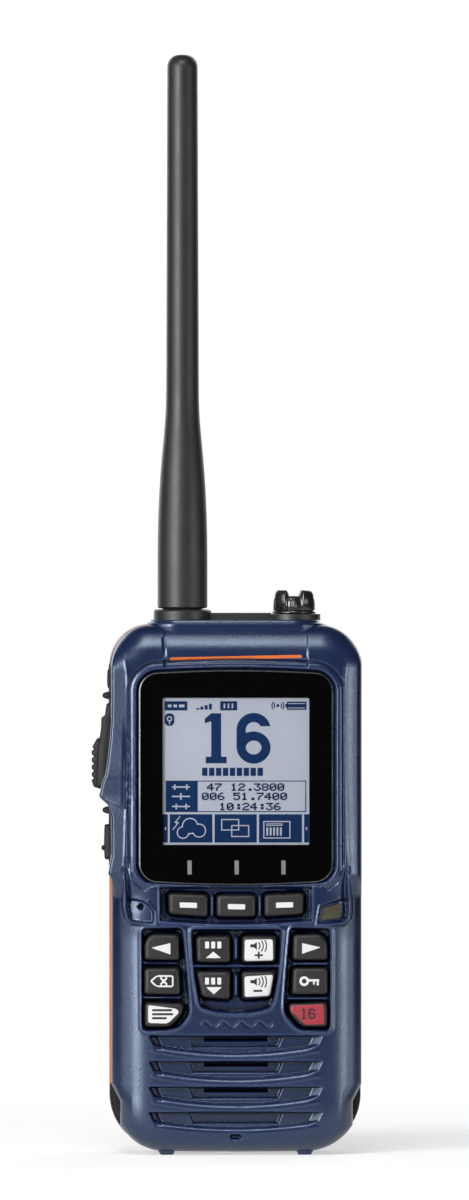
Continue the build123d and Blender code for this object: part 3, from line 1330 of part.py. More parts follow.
# ---------------------------------------------------------------- distress key and cover
with BuildPart() as distress_cover:
    with BuildSketch(face(-(HEAD_DEPTH - COVER_THICKNESS))):
        add(panel(-COVER_HALF, COVER_HALF, COVER_LOW, COVER_HIGH))
    extrude(amount=-COVER_THICKNESS)
    with BuildSketch(side(-COVER_HALF)):
        with Locations((COVER_AXIS_DEPTH, COVER_HIGH)):
            Circle(COVER_BARREL_R)
    extrude(amount=2 * COVER_HALF)
    with BuildSketch(side(-COVER_HALF)):
        with Locations((COVER_AXIS_DEPTH, COVER_HIGH)):
            Circle(COVER_PIN_R + FIT_GAP)
    extrude(amount=2 * COVER_HALF, mode=Mode.SUBTRACT)
    # finger scoop at the lower edge
    with BuildSketch(face(-HEAD_DEPTH)):
        with Locations((0, COVER_LOW)):
            Circle(SCOOP_R)
    extrude(amount=COVER_THICKNESS / 2, mode=Mode.SUBTRACT)
save(distress_cover, "distress_cover")

with BuildPart() as distress_pin:
    with BuildSketch(side(-COVER_HALF - COVER_FLOOR)):
        with Locations((COVER_AXIS_DEPTH, COVER_HIGH)):
            Circle(COVER_PIN_R)
    extrude(amount=2 * (COVER_HALF + COVER_FLOOR))
save(distress_pin, "distress_pin")

DISTRESS_BACK = FLOOR_INSIDE - KEY_FLANGE_GAP
with BuildPart() as distress_key:
    with BuildSketch(face(-DISTRESS_BACK)):
        with Locations((0, DISTRESS_Z)):
            Circle(DISTRESS_R + DISTRESS_FLANGE)
    extrude(amount=DISTRESS_FLANGE)
    with BuildSketch(face(-DISTRESS_BACK)):
        with Locations((0, DISTRESS_Z)):
            Circle(DISTRESS_R)
    extrude(amount=-(RECESS_FLOOR + DISTRESS_RISE - DISTRESS_BACK))
    fillet(distress_key.edges().group_by(Axis.Y)[-1], SIDE_KEY_EDGE_R)
save(distress_key, "distress_key")

with BuildPart() as distress_switch:
    with BuildSketch(face(-SWITCH_BOARD_BACK)):
        with Locations((0, DISTRESS_Z)):
            Rectangle(2 * (POST_X + POST_R), DISTRESS_BOARD_HEIGHT)
    extrude(amount=DISTRESS_BOARD_THICKNESS)
    with BuildSketch(face(-SWITCH_BOARD_BACK)):
        with Locations((0, DISTRESS_Z)):
            Rectangle(SWITCH_SIZE, SWITCH_SIZE)
    extrude(amount=-DISTRESS_SWITCH_HEIGHT)
save(distress_switch, "distress_switch")

# ---------------------------------------------------------------- battery pack
with BuildPart() as pack_cavity:
    with BuildSketch(face(-PACK_FRONT)):
        add(case_slice(PACK_FLOOR, PACK_HIGH - PACK_WALL, PACK_WALL))
    extrude(amount=-(HEAD_DEPTH - PACK_WALL - PACK_FRONT))
    fillet(pack_cavity.edges().group_by(Axis.Y)[-1], CAVITY_EDGE_R)

with BuildPart() as battery_case:
    with BuildSketch(face(-PACK_FRONT)):
        add(case_slice(CASE_BOTTOM, PACK_HIGH))
    extrude(amount=-(HEAD_DEPTH - PACK_FRONT))
    fillet(battery_case.edges().group_by(Axis.Y)[-1], BACK_EDGE_R)
    with BuildSketch(face(-PACK_GAP)):
        add(case_slice(CASE_BOTTOM, TOE_HEIGHT))
        add(case_slice(CASE_BOTTOM, TOE_HEIGHT, TOE_RIM - PACK_GAP), mode=Mode.SUBTRACT)
    extrude(amount=-(PACK_FRONT - PACK_GAP))
    with BuildSketch(face(-BACK_WALL - PACK_GAP)):
        add(case_slice(CASE_BOTTOM, TOE_HEIGHT))
    extrude(amount=-(PACK_FRONT - BACK_WALL - PACK_GAP))
    for sign in (-1, 1):
        with BuildSketch(face(-BACK_FOOT_DEPTH)):
            add(foot_outline(sign))
        extrude(amount=-FOOT_LENGTH)
    add(pack_cavity.part, mode=Mode.SUBTRACT)
    # pocket for the latch, wider inside so that it holds the latch's wings
    with BuildSketch(face(-HEAD_DEPTH)):
        add(panel(-LATCH_HALF - MOVE_GAP, LATCH_HALF + MOVE_GAP, LATCH_LOW - MOVE_GAP, LATCH_POCKET_HIGH))
    extrude(amount=LATCH_DEPTH + MOVE_GAP, mode=Mode.SUBTRACT)
    with BuildSketch(face(-HEAD_DEPTH + LATCH_DEPTH + MOVE_GAP)):
        add(
            panel(
                -LATCH_HALF - LATCH_WING - MOVE_GAP,
                LATCH_HALF + LATCH_WING + MOVE_GAP,
                LATCH_LOW - MOVE_GAP,
                LATCH_POCKET_HIGH,
            )
        )
    extrude(amount=-(LATCH_WING_DEPTH + 2 * MOVE_GAP), mode=Mode.SUBTRACT)
    # holes for the bracket screws
    with BuildSketch(face(-HEAD_DEPTH)):
        with Locations((-BRACKET_SCREW_X, BRACKET_SCREW_Z), (BRACKET_SCREW_X, BRACKET_SCREW_Z)):
            Circle(BRACKET_SCREW_R + GLUE_GAP)
    extrude(amount=PACK_WALL, mode=Mode.SUBTRACT)
save(battery_case, "battery_case")

with BuildPart() as battery_cover:
    with BuildSketch(face(-PACK_FRONT)):
        add(case_slice(PACK_FLOOR + GLUE_GAP, PACK_HIGH - PACK_WALL - GLUE_GAP, PACK_WALL + GLUE_GAP))
        with Locations(*[(x, CONTACT_Z) for x in CONTACT_XS]):
            Circle(CONTACT_PAD_R, mode=Mode.SUBTRACT)
    extrude(amount=-PACK_WALL)
save(battery_cover, "battery_cover")

with BuildPart() as battery_contacts:
    with BuildSketch(face(-PACK_FRONT - PACK_GAP / 2)):
        with Locations(*[(x, CONTACT_Z) for x in CONTACT_XS]):
            Circle(CONTACT_PAD_R - GLUE_GAP)
    extrude(amount=-(PACK_WALL - PACK_GAP / 2))
save(battery_contacts, "battery_contacts")

with BuildPart() as battery_cells:
    with BuildSketch(face(-PACK_FRONT - PACK_WALL - GLUE_GAP)):
        for sign in (-1, 1):
            with Locations((sign * CELL_SPACING / 2, (CELL_LOW + CELL_HIGH) / 2)):
                RectangleRounded(CELL_WIDTH, CELL_HIGH - CELL_LOW, KEY_CORNER_R)
    extrude(amount=-(HEAD_DEPTH - PACK_FRONT - 2 * PACK_WALL - 2 * MOVE_GAP))
save(battery_cells, "battery_cells")

LATCH_BACK = HEAD_DEPTH - MOVE_GAP
with BuildPart() as battery_latch:
    with BuildSketch(face(-LATCH_BACK)):
        add(panel(-LATCH_HALF, LATCH_HALF, LATCH_LOW, LATCH_HIGH))
    extrude(amount=LATCH_DEPTH - MOVE_GAP)
    with BuildSketch(face(-HEAD_DEPTH + LATCH_DEPTH)):
        add(panel(-LATCH_HALF - LATCH_WING, LATCH_HALF + LATCH_WING, LATCH_LOW, LATCH_HIGH))
    extrude(amount=-LATCH_WING_DEPTH)
    with BuildSketch(side(-LATCH_HALF)):
        for index in range(LATCH_RIB_COUNT):
            rib_z = (LATCH_LOW + LATCH_HIGH) / 2 + (index - (LATCH_RIB_COUNT - 1) / 2) * LATCH_RIB_PITCH
            with Locations((LATCH_BACK, rib_z)):
                Circle(LATCH_RIB_R)
    extrude(amount=2 * LATCH_HALF)
save(battery_latch, "battery_latch")


def coil(plane, radius, wire_r, turns, height, leg=0):
    """A round-wire coil from the plane's origin along its normal, starting on its x axis, with a
    straight leg carrying on from each end."""
    with BuildPart() as spring:
        with BuildLine():
            Helix(pitch=height / turns, height=height, radius=radius)
        wire = spring.pending_edges[0]
        with BuildSketch(Plane(origin=wire @ 0, z_dir=wire % 0)):
            Circle(wire_r)
        sweep()
        if leg:
            for end, way in ((0, -1), (1, 1)):
                with BuildSketch(Plane(origin=wire @ end, z_dir=(wire % end) * way)):
                    Circle(wire_r)
                extrude(amount=leg)
    return spring.part.moved(Location(plane))


LATCH_SPRING_DEPTH = HEAD_DEPTH - LATCH_DEPTH + LATCH_SPRING_R + LATCH_SPRING_WIRE_R + MOVE_GAP
LATCH_SPRING_PLANE = Plane(
    origin=(MID_X, SEAM_Y + LATCH_SPRING_DEPTH, LATCH_HIGH + LATCH_SPRING_WIRE_R + FIT_GAP),
    x_dir=(1, 0, 0),
    z_dir=(0, 0, 1),
)
with BuildPart() as latch_spring:
    add(
        coil(
            LATCH_SPRING_PLANE,
            LATCH_SPRING_R,
            LATCH_SPRING_WIRE_R,
            LATCH_SPRING_TURNS,
            LATCH_POCKET_HIGH - LATCH_HIGH - 2 * (LATCH_SPRING_WIRE_R + FIT_GAP),
        )
    )
save(latch_spring, "latch_spring")

# ---------------------------------------------------------------- belt clip
EAR_INNER = CLIP_HALF + MOVE_GAP
EAR_OUTER = EAR_INNER + CLIP_EAR
CLIP_AXIS = (CLIP_AXIS_DEPTH, CLIP_AXIS_Z)
SCREW_PAIR = ((-BRACKET_SCREW_X, BRACKET_SCREW_Z), (BRACKET_SCREW_X, BRACKET_SCREW_Z))

with BuildPart() as clip_bracket:
    with BuildSketch(face(-HEAD_DEPTH)):
        add(panel(-EAR_OUTER, EAR_OUTER, BRACKET_LOW, BRACKET_HIGH, KEY_CORNER_R))
        with Locations(*SCREW_PAIR):
            Circle(BRACKET_SCREW_R + GLUE_GAP, mode=Mode.SUBTRACT)
    extrude(amount=-BRACKET_THICKNESS)
    for start in (-EAR_OUTER, EAR_INNER):
        with BuildSketch(side(start)):
            add(panel(HEAD_DEPTH, CLIP_AXIS_DEPTH, CLIP_AXIS_Z - CLIP_BARREL_R, CLIP_AXIS_Z + CLIP_BARREL_R))
            with Locations(CLIP_AXIS):
                Circle(CLIP_BARREL_R)
                Circle(CLIP_PIN_R + GLUE_GAP, mode=Mode.SUBTRACT)
        extrude(amount=CLIP_EAR)
save(clip_bracket, "clip_bracket")

with BuildPart() as belt_clip:
    with BuildSketch(face(-CLIP_INNER)):
        add(panel(-CLIP_HALF, CLIP_HALF, CLIP_LOW, CLIP_HIGH, CLIP_CORNER_R))
    extrude(amount=-CLIP_THICKNESS)
    with BuildSketch(side(-CLIP_HALF + CLIP_CORNER_R)):
        with BuildLine():
            Polyline(
                (CLIP_INNER, CLIP_LOW + CLIP_TIP_HEIGHT),
                (HEAD_DEPTH + MOVE_GAP, CLIP_LOW + CLIP_TIP_HEIGHT / 2),
                (HEAD_DEPTH + MOVE_GAP, CLIP_LOW + CLIP_TIP_HEIGHT / 4),
                (CLIP_INNER, CLIP_LOW),
                (CLIP_INNER + CLIP_THICKNESS / 2, CLIP_LOW),
                (CLIP_INNER + CLIP_THICKNESS / 2, CLIP_LOW + CLIP_TIP_HEIGHT),
                close=True,
            )
        make_face()
    extrude(amount=2 * (CLIP_HALF - CLIP_CORNER_R))
    with BuildSketch(side(-CLIP_HALF)):
        with Locations(CLIP_AXIS):
            Circle(CLIP_BARREL_R)
    extrude(amount=2 * CLIP_HALF)
    with BuildSketch(side(-CLIP_HALF)):
        with Locations(CLIP_AXIS):
            Circle(CLIP_PIN_R + FIT_GAP)
    extrude(amount=2 * CLIP_HALF, mode=Mode.SUBTRACT)
    # window for the spring
    with BuildSketch(side(-CLIP_BARREL_HALF_GAP)):
        with Locations(CLIP_AXIS):
            Rectangle(2 * CLIP_BARREL_R + MOVE_GAP, 2 * CLIP_BARREL_R + MOVE_GAP)
    extrude(amount=2 * CLIP_BARREL_HALF_GAP, mode=Mode.SUBTRACT)
    # grip ribs on the thumb end
    with BuildSketch(side(-CLIP_HALF + CLIP_CORNER_R)):
        for index in range(CLIP_RIB_COUNT):
            with Locations((CLIP_OUTER, CLIP_HIGH - CLIP_RIB_PITCH * (index + 1))):
                Circle(CLIP_RIB_R)
    extrude(amount=2 * (CLIP_HALF - CLIP_CORNER_R))
save(belt_clip, "belt_clip")

with BuildPart() as clip_pin:
    with BuildSketch(side(-EAR_OUTER)):
        with Locations(CLIP_AXIS):
            Circle(CLIP_PIN_R)
    extrude(amount=2 * EAR_OUTER)
save(clip_pin, "clip_pin")

COIL_HALF = CLIP_BARREL_HALF_GAP - MOVE_GAP - CLIP_SPRING_WIRE_R
COIL_PLANE = Plane(
    origin=(MID_X - COIL_HALF, SEAM_Y + CLIP_AXIS_DEPTH, CLIP_AXIS_Z), x_dir=(0, -1, 0), z_dir=(1, 0, 0)
)
with BuildPart() as clip_spring:
    add(
        coil(
            COIL_PLANE,
            CLIP_SPRING_R,
            CLIP_SPRING_WIRE_R,
            CLIP_SPRING_TURNS,
            2 * COIL_HALF,
            CLIP_SPRING_LEG,
        )
    )
save(clip_spring, "clip_spring")

with BuildPart() as bracket_screws:
    with BuildSketch(face(-HEAD_DEPTH - BRACKET_THICKNESS)):
        with Locations(*SCREW_PAIR):
            Circle(BRACKET_HEAD_R)
    extrude(amount=-BRACKET_HEAD_HEIGHT)
    with BuildSketch(face(-HEAD_DEPTH - BRACKET_THICKNESS)):
        with Locations(*SCREW_PAIR):
            Circle(BRACKET_SCREW_R)
    extrude(amount=BRACKET_THICKNESS + PACK_WALL)
    with BuildSketch(face(-HEAD_DEPTH - BRACKET_THICKNESS - BRACKET_HEAD_HEIGHT / 3)):
        with Locations(*SCREW_PAIR):
            RegularPolygon(SCREW_SOCKET_R, 6)
    extrude(amount=-BRACKET_HEAD_HEIGHT, mode=Mode.SUBTRACT)
save(bracket_screws, "bracket_screws")
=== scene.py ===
"""Handheld marine radio: the looks of its case, window, keys, antenna, battery and clip.

Sizes are in millimetres until make_piece() turns them into metres. x is to the right of the
case's middle, f is forward of the seam between the two case halves, and z is up.
"""

import math
import bpy
import numpy as np
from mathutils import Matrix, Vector


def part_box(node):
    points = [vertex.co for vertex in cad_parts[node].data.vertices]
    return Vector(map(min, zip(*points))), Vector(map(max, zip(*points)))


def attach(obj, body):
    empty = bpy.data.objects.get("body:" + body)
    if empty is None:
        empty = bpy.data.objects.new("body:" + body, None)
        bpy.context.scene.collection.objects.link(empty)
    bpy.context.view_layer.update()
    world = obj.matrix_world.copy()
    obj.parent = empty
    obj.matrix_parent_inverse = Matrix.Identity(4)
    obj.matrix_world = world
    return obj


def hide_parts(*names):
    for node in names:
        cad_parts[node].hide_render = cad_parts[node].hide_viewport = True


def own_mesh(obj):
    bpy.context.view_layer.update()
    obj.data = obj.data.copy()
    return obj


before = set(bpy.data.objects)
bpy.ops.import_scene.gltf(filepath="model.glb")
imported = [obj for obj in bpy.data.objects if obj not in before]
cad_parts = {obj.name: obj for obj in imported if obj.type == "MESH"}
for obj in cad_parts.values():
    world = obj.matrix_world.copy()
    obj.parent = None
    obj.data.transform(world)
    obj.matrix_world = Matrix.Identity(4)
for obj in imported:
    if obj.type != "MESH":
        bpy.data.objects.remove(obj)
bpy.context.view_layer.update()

MM = 0.001
MID_X = 2.4  # the case's middle in the frame
SEAM_Y = -2.65  # the seam between the case halves in the frame
FACE = 19.95  # the front surface, forward of the seam
NUDGE = 0.01  # the half step over which a slope is taken

# ================================================================ finishes
CELLS_PER_METRE = 1000.0  # noise cells at a grain of 1 mm


class Nodes:
    """A node tree, built a node at a time."""

    def __init__(self, tree):
        self.tree = tree

    def add(self, kind, **values):
        """A new node with those properties."""
        node = self.tree.nodes.new(kind)
        for key, value in values.items():
            setattr(node, key, value)
        return node

    def wire(self, source, target):
        """Joins an output to an input."""
        self.tree.links.new(source, target)

    def ramp(self, source, low, high, start=0.0, end=1.0, kind="LINEAR"):
        """Maps source from low...high to start...end."""
        node = self.add("ShaderNodeMapRange", interpolation_type=kind)
        for name, value in (("From Min", low), ("From Max", high), ("To Min", start), ("To Max", end)):
            node.inputs[name].default_value = value
        self.wire(source, node.inputs["Value"])
        return node.outputs["Result"]

    def maths(self, operation, first, second):
        """A sum, product or maximum of two outputs."""
        node = self.add("ShaderNodeMath", operation=operation)
        self.wire(first, node.inputs[0])
        self.wire(second, node.inputs[1])
        return node.outputs[0]

    def plain(self, kind, colour, strength=None):
        """A shader of one colour: emission, background, diffuse, gloss or clear."""
        node = self.add(kind)
        node.inputs["Color"].default_value = (*colour, 1)
        if strength is not None:
            node.inputs["Strength"].default_value = strength
        return node

    def blend(self, share, first, second):
        """A mix of two shaders: share of the second in the first."""
        node = self.add("ShaderNodeMixShader")
        for source, target in zip((share, first, second), node.inputs):
            self.wire(source, target)
        return node.outputs[0]

    def seen_rays(self, mirror_share=None):
        """1 for rays that show a background: camera, mirror and transmitted rays. Others carry light."""
        ray = self.add("ShaderNodeLightPath").outputs
        mirror = ray["Is Glossy Ray"]
        if mirror_share is not None:
            mirror = self.maths("MULTIPLY", mirror, mirror_share)
        straight = self.maths("MAXIMUM", ray["Is Camera Ray"], mirror)
        return self.maths("MAXIMUM", straight, ray["Is Transmission Ray"])


class Finish(Nodes):
    """A material whose patterns read Object coordinates."""

    def __init__(self, name):
        self.material = bpy.data.materials.new(name)
        self.material.use_nodes = True
        super().__init__(self.material.node_tree)
        self.shader = self.tree.nodes["Principled BSDF"]
        self.place = self.add("ShaderNodeTexCoord").outputs["Object"]

    def noise(self, scale, detail=2.0, stretch=(1, 1, 1), rough=0.5):
        """Noise with `scale` cells per metre, stretched along the axes."""
        spread = self.add("ShaderNodeMapping")
        spread.inputs["Scale"].default_value = stretch
        self.wire(self.place, spread.inputs["Vector"])
        node = self.add("ShaderNodeTexNoise")
        for name, value in (("Scale", scale), ("Detail", detail), ("Roughness", rough)):
            node.inputs[name].default_value = value
        self.wire(spread.outputs[0], node.inputs["Vector"])
        return node.outputs["Fac"]

    def mix(self, share, first, second):
        """A colour mix by a socket; first and second are colours or sockets."""
        node = self.add("ShaderNodeMix", data_type="RGBA")
        self.wire(share, node.inputs[0])
        for socket, value in ((node.inputs[6], first), (node.inputs[7], second)):
            if isinstance(value, tuple):
                socket.default_value = (*value, 1)
            else:
                self.wire(value, socket)
        return node.outputs[2]

    def bump(self, source, height):
        """Bump of `height` millimetres from a height pattern."""
        node = self.add("ShaderNodeBump")
        node.inputs["Distance"].default_value = height * MM
        self.wire(source, node.inputs["Height"])
        return node.outputs["Normal"]

    def close(self, shader):
        """Puts a shader in the place of the plain one."""
        self.wire(shader, self.tree.nodes["Material Output"].inputs["Surface"])
        self.tree.nodes.remove(self.shader)
        return self.material


def toned(colour, scale, lift=0.0):
    """A colour scaled and lifted, held under 1."""
    return tuple(min(1, scale * c + lift) for c in colour)


def moulded(
    name, colour, rough=0.5, grain=0.02, grain_size=0.35, tone=0.12, swing=0.08,
    dust=0.0, level=0.5, tint=(1, 1, 1), paint_shade=False,
):
    """Moulded plastic or rubber: fine grain in the normal, slow changes of tone and roughness,
    and a little pale wear where the slow noise peaks. If asked, painted shade darkens what lies
    below its surroundings and the ridges are paled as wear and painted highlight, by mesh values."""
    made = Finish(name)
    sockets = made.shader.inputs
    slow = made.noise(60, 3)
    fine = made.noise(CELLS_PER_METRE / grain_size, 2)
    shade = made.mix(made.ramp(slow, 0.3, 0.7), toned(colour, 1 - tone), toned(colour, 1 + tone))
    speck = made.mix(made.ramp(fine, 0.35, 0.75, 0, 0.5), shade, toned(colour, 1 - 2 * tone))
    if dust:
        scuff = made.ramp(made.noise(420, 5, (1, 1, 0.35), 0.7), 0.62, 0.8, 0, dust)
        speck = made.mix(scuff, speck, toned(colour, 0.6, 0.16))
    if paint_shade:
        # painted shade: the mesh's values darken the colour where the surface lies below its surroundings,
        # and pale it on ridges as wear and painted highlight
        low = made.add("ShaderNodeAttribute", attribute_name="painted_shade").outputs["Fac"]
        speck = made.mix(made.ramp(low, 0.08, 1.0, 0, 0.82), speck, toned(colour, 0.12))
        speck = made.mix(made.ramp(low, -0.05, -0.45, 0, 0.55), speck, toned(colour, 2.0, 0.01))
    made.wire(speck, sockets["Base Color"])
    made.wire(made.ramp(made.noise(140, 4), 0.3, 0.7, rough - swing, rough + swing), sockets["Roughness"])
    made.wire(made.bump(fine, grain), sockets["Normal"])
    sockets["Specular IOR Level"].default_value = level
    sockets["Specular Tint"].default_value = (*tint, 1)
    return made.material


def metal(name, colour, rough=0.3):
    """Drawn or plated metal: fine streaks along z in roughness and bump."""
    made = Finish(name)
    sockets = made.shader.inputs
    streak = made.noise(900, 3, (1, 1, 0.06))
    sockets["Metallic"].default_value = 1.0
    made.wire(made.mix(made.ramp(streak, 0.3, 0.7), toned(colour, 0.85), colour), sockets["Base Color"])
    made.wire(made.ramp(streak, 0.25, 0.75, rough - 0.08, rough + 0.12), sockets["Roughness"])
    made.wire(made.bump(streak, 0.01), sockets["Normal"])
    return made.material


def clear_cover(name, tint):
    """A clear hard cover: light passes, and the surface mirrors by its Fresnel share."""
    made = Finish(name)
    through = made.plain("ShaderNodeBsdfTransparent", tint)
    gloss = made.plain("ShaderNodeBsdfGlossy", (1, 1, 1))
    smear = made.noise(90, 4, (1, 1, 0.5))
    made.wire(made.ramp(smear, 0.35, 0.75, 0.015, 0.09), gloss.inputs["Roughness"])
    edge = made.add("ShaderNodeFresnel")
    edge.inputs["IOR"].default_value = 1.47
    return made.close(made.blend(edge.outputs[0], through.outputs[0], gloss.outputs[0]))


# the case plastic is darkened in its hollows by painted shade and paled on its ridges as wear and painted
# highlight
navy = moulded(
    "navy_case_plastic", (0.0080, 0.0165, 0.061), rough=0.28, swing=0.02, grain=0.028, grain_size=0.45,
    tone=0.05, dust=0.01, level=0.9, tint=(0.69, 0.83, 1.0), paint_shade=True,
)
orange = moulded(
    "orange_case_plastic", (0.80, 0.17, 0.02), rough=0.45, grain=0.025, grain_size=0.30, dust=0.05,
)
black = moulded(
    "black_plastic", (0.016, 0.016, 0.018), rough=0.48, grain=0.025, grain_size=0.30, dust=0.06,
)
rubber = moulded(
    "black_rubber", (0.013, 0.013, 0.014), rough=0.62, grain=0.02, grain_size=0.22, swing=0.06,
)
side_rubber = moulded(
    "side_rubber", (0.008, 0.008, 0.0078), rough=0.52, grain=0.014, grain_size=0.3, swing=0.06,
    dust=0.03, level=0.3,
)
toe_rubber = moulded(
    "toe_rubber", (0.007, 0.007, 0.008), rough=0.6, grain=0.014, grain_size=0.3, level=0.25,
)
whip = moulded(
    "antenna_rubber", (0.020, 0.0196, 0.0196), rough=0.45, grain=0.008, grain_size=0.5, swing=0.03,
    level=0.6,
)
key_rubber = moulded("key_rubber", (0.0145, 0.0138, 0.0138), rough=0.48, grain=0.02, grain_size=0.18)
key_mark = moulded(
    "key_mark_white", (0.80, 0.81, 0.82), rough=0.5, grain=0.008, grain_size=0.2, tone=0.02, level=0.2,
)
tick_grey = moulded("window_tick", (0.50, 0.51, 0.52), rough=0.5, grain=0.004, tone=0.03)
orange_line = moulded("orange_line", (0.72, 0.16, 0.03), rough=0.45, grain=0.006, tone=0.06)
knob_black = moulded(
    "knob_plastic", (0.014, 0.014, 0.015), rough=0.20, level=0.8, grain=0.015, grain_size=0.25,
    dust=0.06,
)
key_red = moulded(
    "key_mark_red", (0.40, 0.035, 0.055), rough=0.45, grain=0.01, grain_size=0.2, tone=0.06,
)
cover_red = moulded("distress_red", (0.50, 0.02, 0.015), rough=0.4, grain=0.015, grain_size=0.25)
print_black = moulded(
    "window_print", (0.0012, 0.0012, 0.0016), rough=0.8, grain=0.002, tone=0.05, level=0.0,
)
window_clear = clear_cover("window_clear", (0.98, 0.985, 0.99))
lens_olive = moulded(
    "lens_olive", (0.10, 0.095, 0.062), rough=0.16, swing=0.03, grain=0.006, grain_size=0.6, tone=0.25,
)
grey_edge = moulded(
    "window_edge", (0.05, 0.052, 0.055), rough=0.30, swing=0.03, grain=0.003, tone=0.05, level=1.0,
)
board_green = moulded("board_green", (0.03, 0.11, 0.05), rough=0.4, grain=0.01)
ceramic = moulded("ceramic_patch", (0.55, 0.50, 0.40), rough=0.5, grain=0.01)
steel = metal("steel", (0.56, 0.57, 0.58), 0.3)
gold = metal("contact_gold", (0.80, 0.58, 0.24), 0.25)
LCD_GREY = (0.57, 0.60, 0.68)
lcd_back = moulded(
    "display_back", LCD_GREY, rough=0.6, grain=0.002, grain_size=0.4, tone=0.03, level=0.0,
)
# painted light: the display's grey also glows a little of its own, which brightens it
display_glow = lcd_back.node_tree.nodes["Principled BSDF"].inputs
display_glow["Emission Color"].default_value = (*LCD_GREY, 1)
display_glow["Emission Strength"].default_value = 0.22
lcd_ink = moulded(
    "display_ink", (0.014, 0.050, 0.17), rough=0.6, grain=0.002, grain_size=0.4, tone=0.05, level=0.0,
)

SLOT_FINISH = {
    "navy_case": navy,
    "orange_case": orange,
    "black_plastic": black,
    "black_rubber": rubber,
    "key_grey": key_rubber,
    "key_white": key_rubber,
    "key_red": key_rubber,
    "cover_red": cover_red,
    "window": window_clear,
    "clear_lens": lens_olive,
    "display": lcd_back,
    "film": print_black,
    "board": board_green,
    "ceramic": ceramic,
    "shield_metal": steel,
    "contact_metal": gold,
    "steel": steel,
}

NODE_FINISH = {
    "antenna": whip,
    "cap_tether": whip,
    "antenna_socket": whip,
}


# ================================================================ surfaces
def place(x, f, z):
    """Points from x right of the middle, f forward of the seam and z up, in millimetres."""
    x, f, z = np.broadcast_arrays(np.asarray(x, float), np.asarray(f, float), np.asarray(z, float))
    return np.stack((MID_X + x, SEAM_Y - f, z), -1).reshape(-1, 3)


def place_left(f, reach, z):
    """Points on the left side, from f forward of the seam, the reach outwards and z up, in millimetres."""
    return place(-reach, f, z)


def place_up(x, rise, f):
    """Points at a height, from x right of the middle and f forward of the seam, in millimetres."""
    return place(x, f, rise)


def make_piece(name, points, faces, finish, body="radio", normals=None):
    """Puts points (n x 3, millimetres) and faces into a smooth mesh that rides on a body."""
    mesh = bpy.data.meshes.new(name)
    mesh.from_pydata(points * MM, [], faces)
    mesh.polygons.foreach_set("use_smooth", np.ones(len(mesh.polygons), bool))
    mesh.materials.append(finish)
    if normals is not None:
        mesh.normals_split_custom_set_from_vertices(normals)
    piece = bpy.data.objects.new(name, mesh)
    bpy.context.scene.collection.objects.link(piece)
    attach(piece, body)
    return piece


def grid_faces(rows, cols, ring=False):
    """Quads of a rows x cols grid of points numbered row by row; in a ring the columns join up."""
    i = np.arange(rows - 1)[:, None]
    j = np.arange(cols if ring else cols - 1)[None, :]
    here, right = i * cols + j, i * cols + (j + 1) % cols
    return np.stack((here, right, right + cols, here + cols), -1).reshape(-1, 4)


def renumbered(faces):
    """The numbers of the points that faces use, and the faces with those points numbered from 0."""
    used, places = np.unique(faces, return_inverse=True)
    return used, places.reshape(faces.shape)


def fan(count, hub, start=0, flip=False):
    """Triangles from a ring of points, numbered from start on, to the point hub."""
    ring = start + np.arange(count)
    after = np.roll(ring, -1)
    first, second = (ring, after) if flip else (after, ring)
    return np.stack((first, second, np.full(count, hub)), -1).tolist()


def step(value, low, high):
    """0 below low, 1 above high, and a smooth s between."""
    t = np.clip((value - low) / (high - low), 0, 1)
    return t * t * (3 - 2 * t)


def hump(value, half):
    """1 at 0, falling smoothly to 0 at plus and minus half."""
    t = np.clip(np.abs(value) / half, 0, 1)
    return 0.5 + 0.5 * np.cos(np.pi * t)


def rounded_box(x, z, half_x, half_z, radius):
    """Distance to a rounded rectangle round the origin, negative inside."""
    qx, qz = np.abs(x) - half_x + radius, np.abs(z) - half_z + radius
    return np.hypot(np.maximum(qx, 0), np.maximum(qz, 0)) + np.minimum(np.maximum(qx, qz), 0) - radius


def facets(x, z, corners, radius):
    """Distance to a convex polygon with rounded corners, negative inside: the half planes of its
    edges, moved in by the radius and joined as the length of their overshoots."""
    corners = np.asarray(corners, float)
    after = np.roll(corners, -1, 0)
    turn = np.sign(np.sum(corners[:, 0] * after[:, 1] - corners[:, 1] * after[:, 0]))
    over, most = 0, -1e9
    for (ax, az), (bx, bz) in zip(corners, after):
        length = math.hypot(bx - ax, bz - az)
        nx, nz = turn * (bz - az) / length, -turn * (bx - ax) / length
        out = (x - ax) * nx + (z - az) * nz + radius
        over = over + np.maximum(out, 0) ** 2
        most = np.maximum(most, out)
    return np.sqrt(over) + np.minimum(most, 0) - radius


def line_distance(x, z, points):
    """Distance to an open polyline."""
    least = np.full(np.shape(x), 1e9)
    for (ax, az), (bx, bz) in zip(points[:-1], points[1:]):
        dx, dz = bx - ax, bz - az
        t = np.clip(((x - ax) * dx + (z - az) * dz) / (dx * dx + dz * dz), 0, 1)
        least = np.minimum(least, np.hypot(x - ax - t * dx, z - az - t * dz))
    return least


def slopes(near, x, z):
    """How fast near(x, z) grows along x and along z."""
    along_x = (near(x + NUDGE, z) - near(x - NUDGE, z)) / (2 * NUDGE)
    along_z = (near(x, z + NUDGE) - near(x, z - NUDGE)) / (2 * NUDGE)
    return along_x, along_z


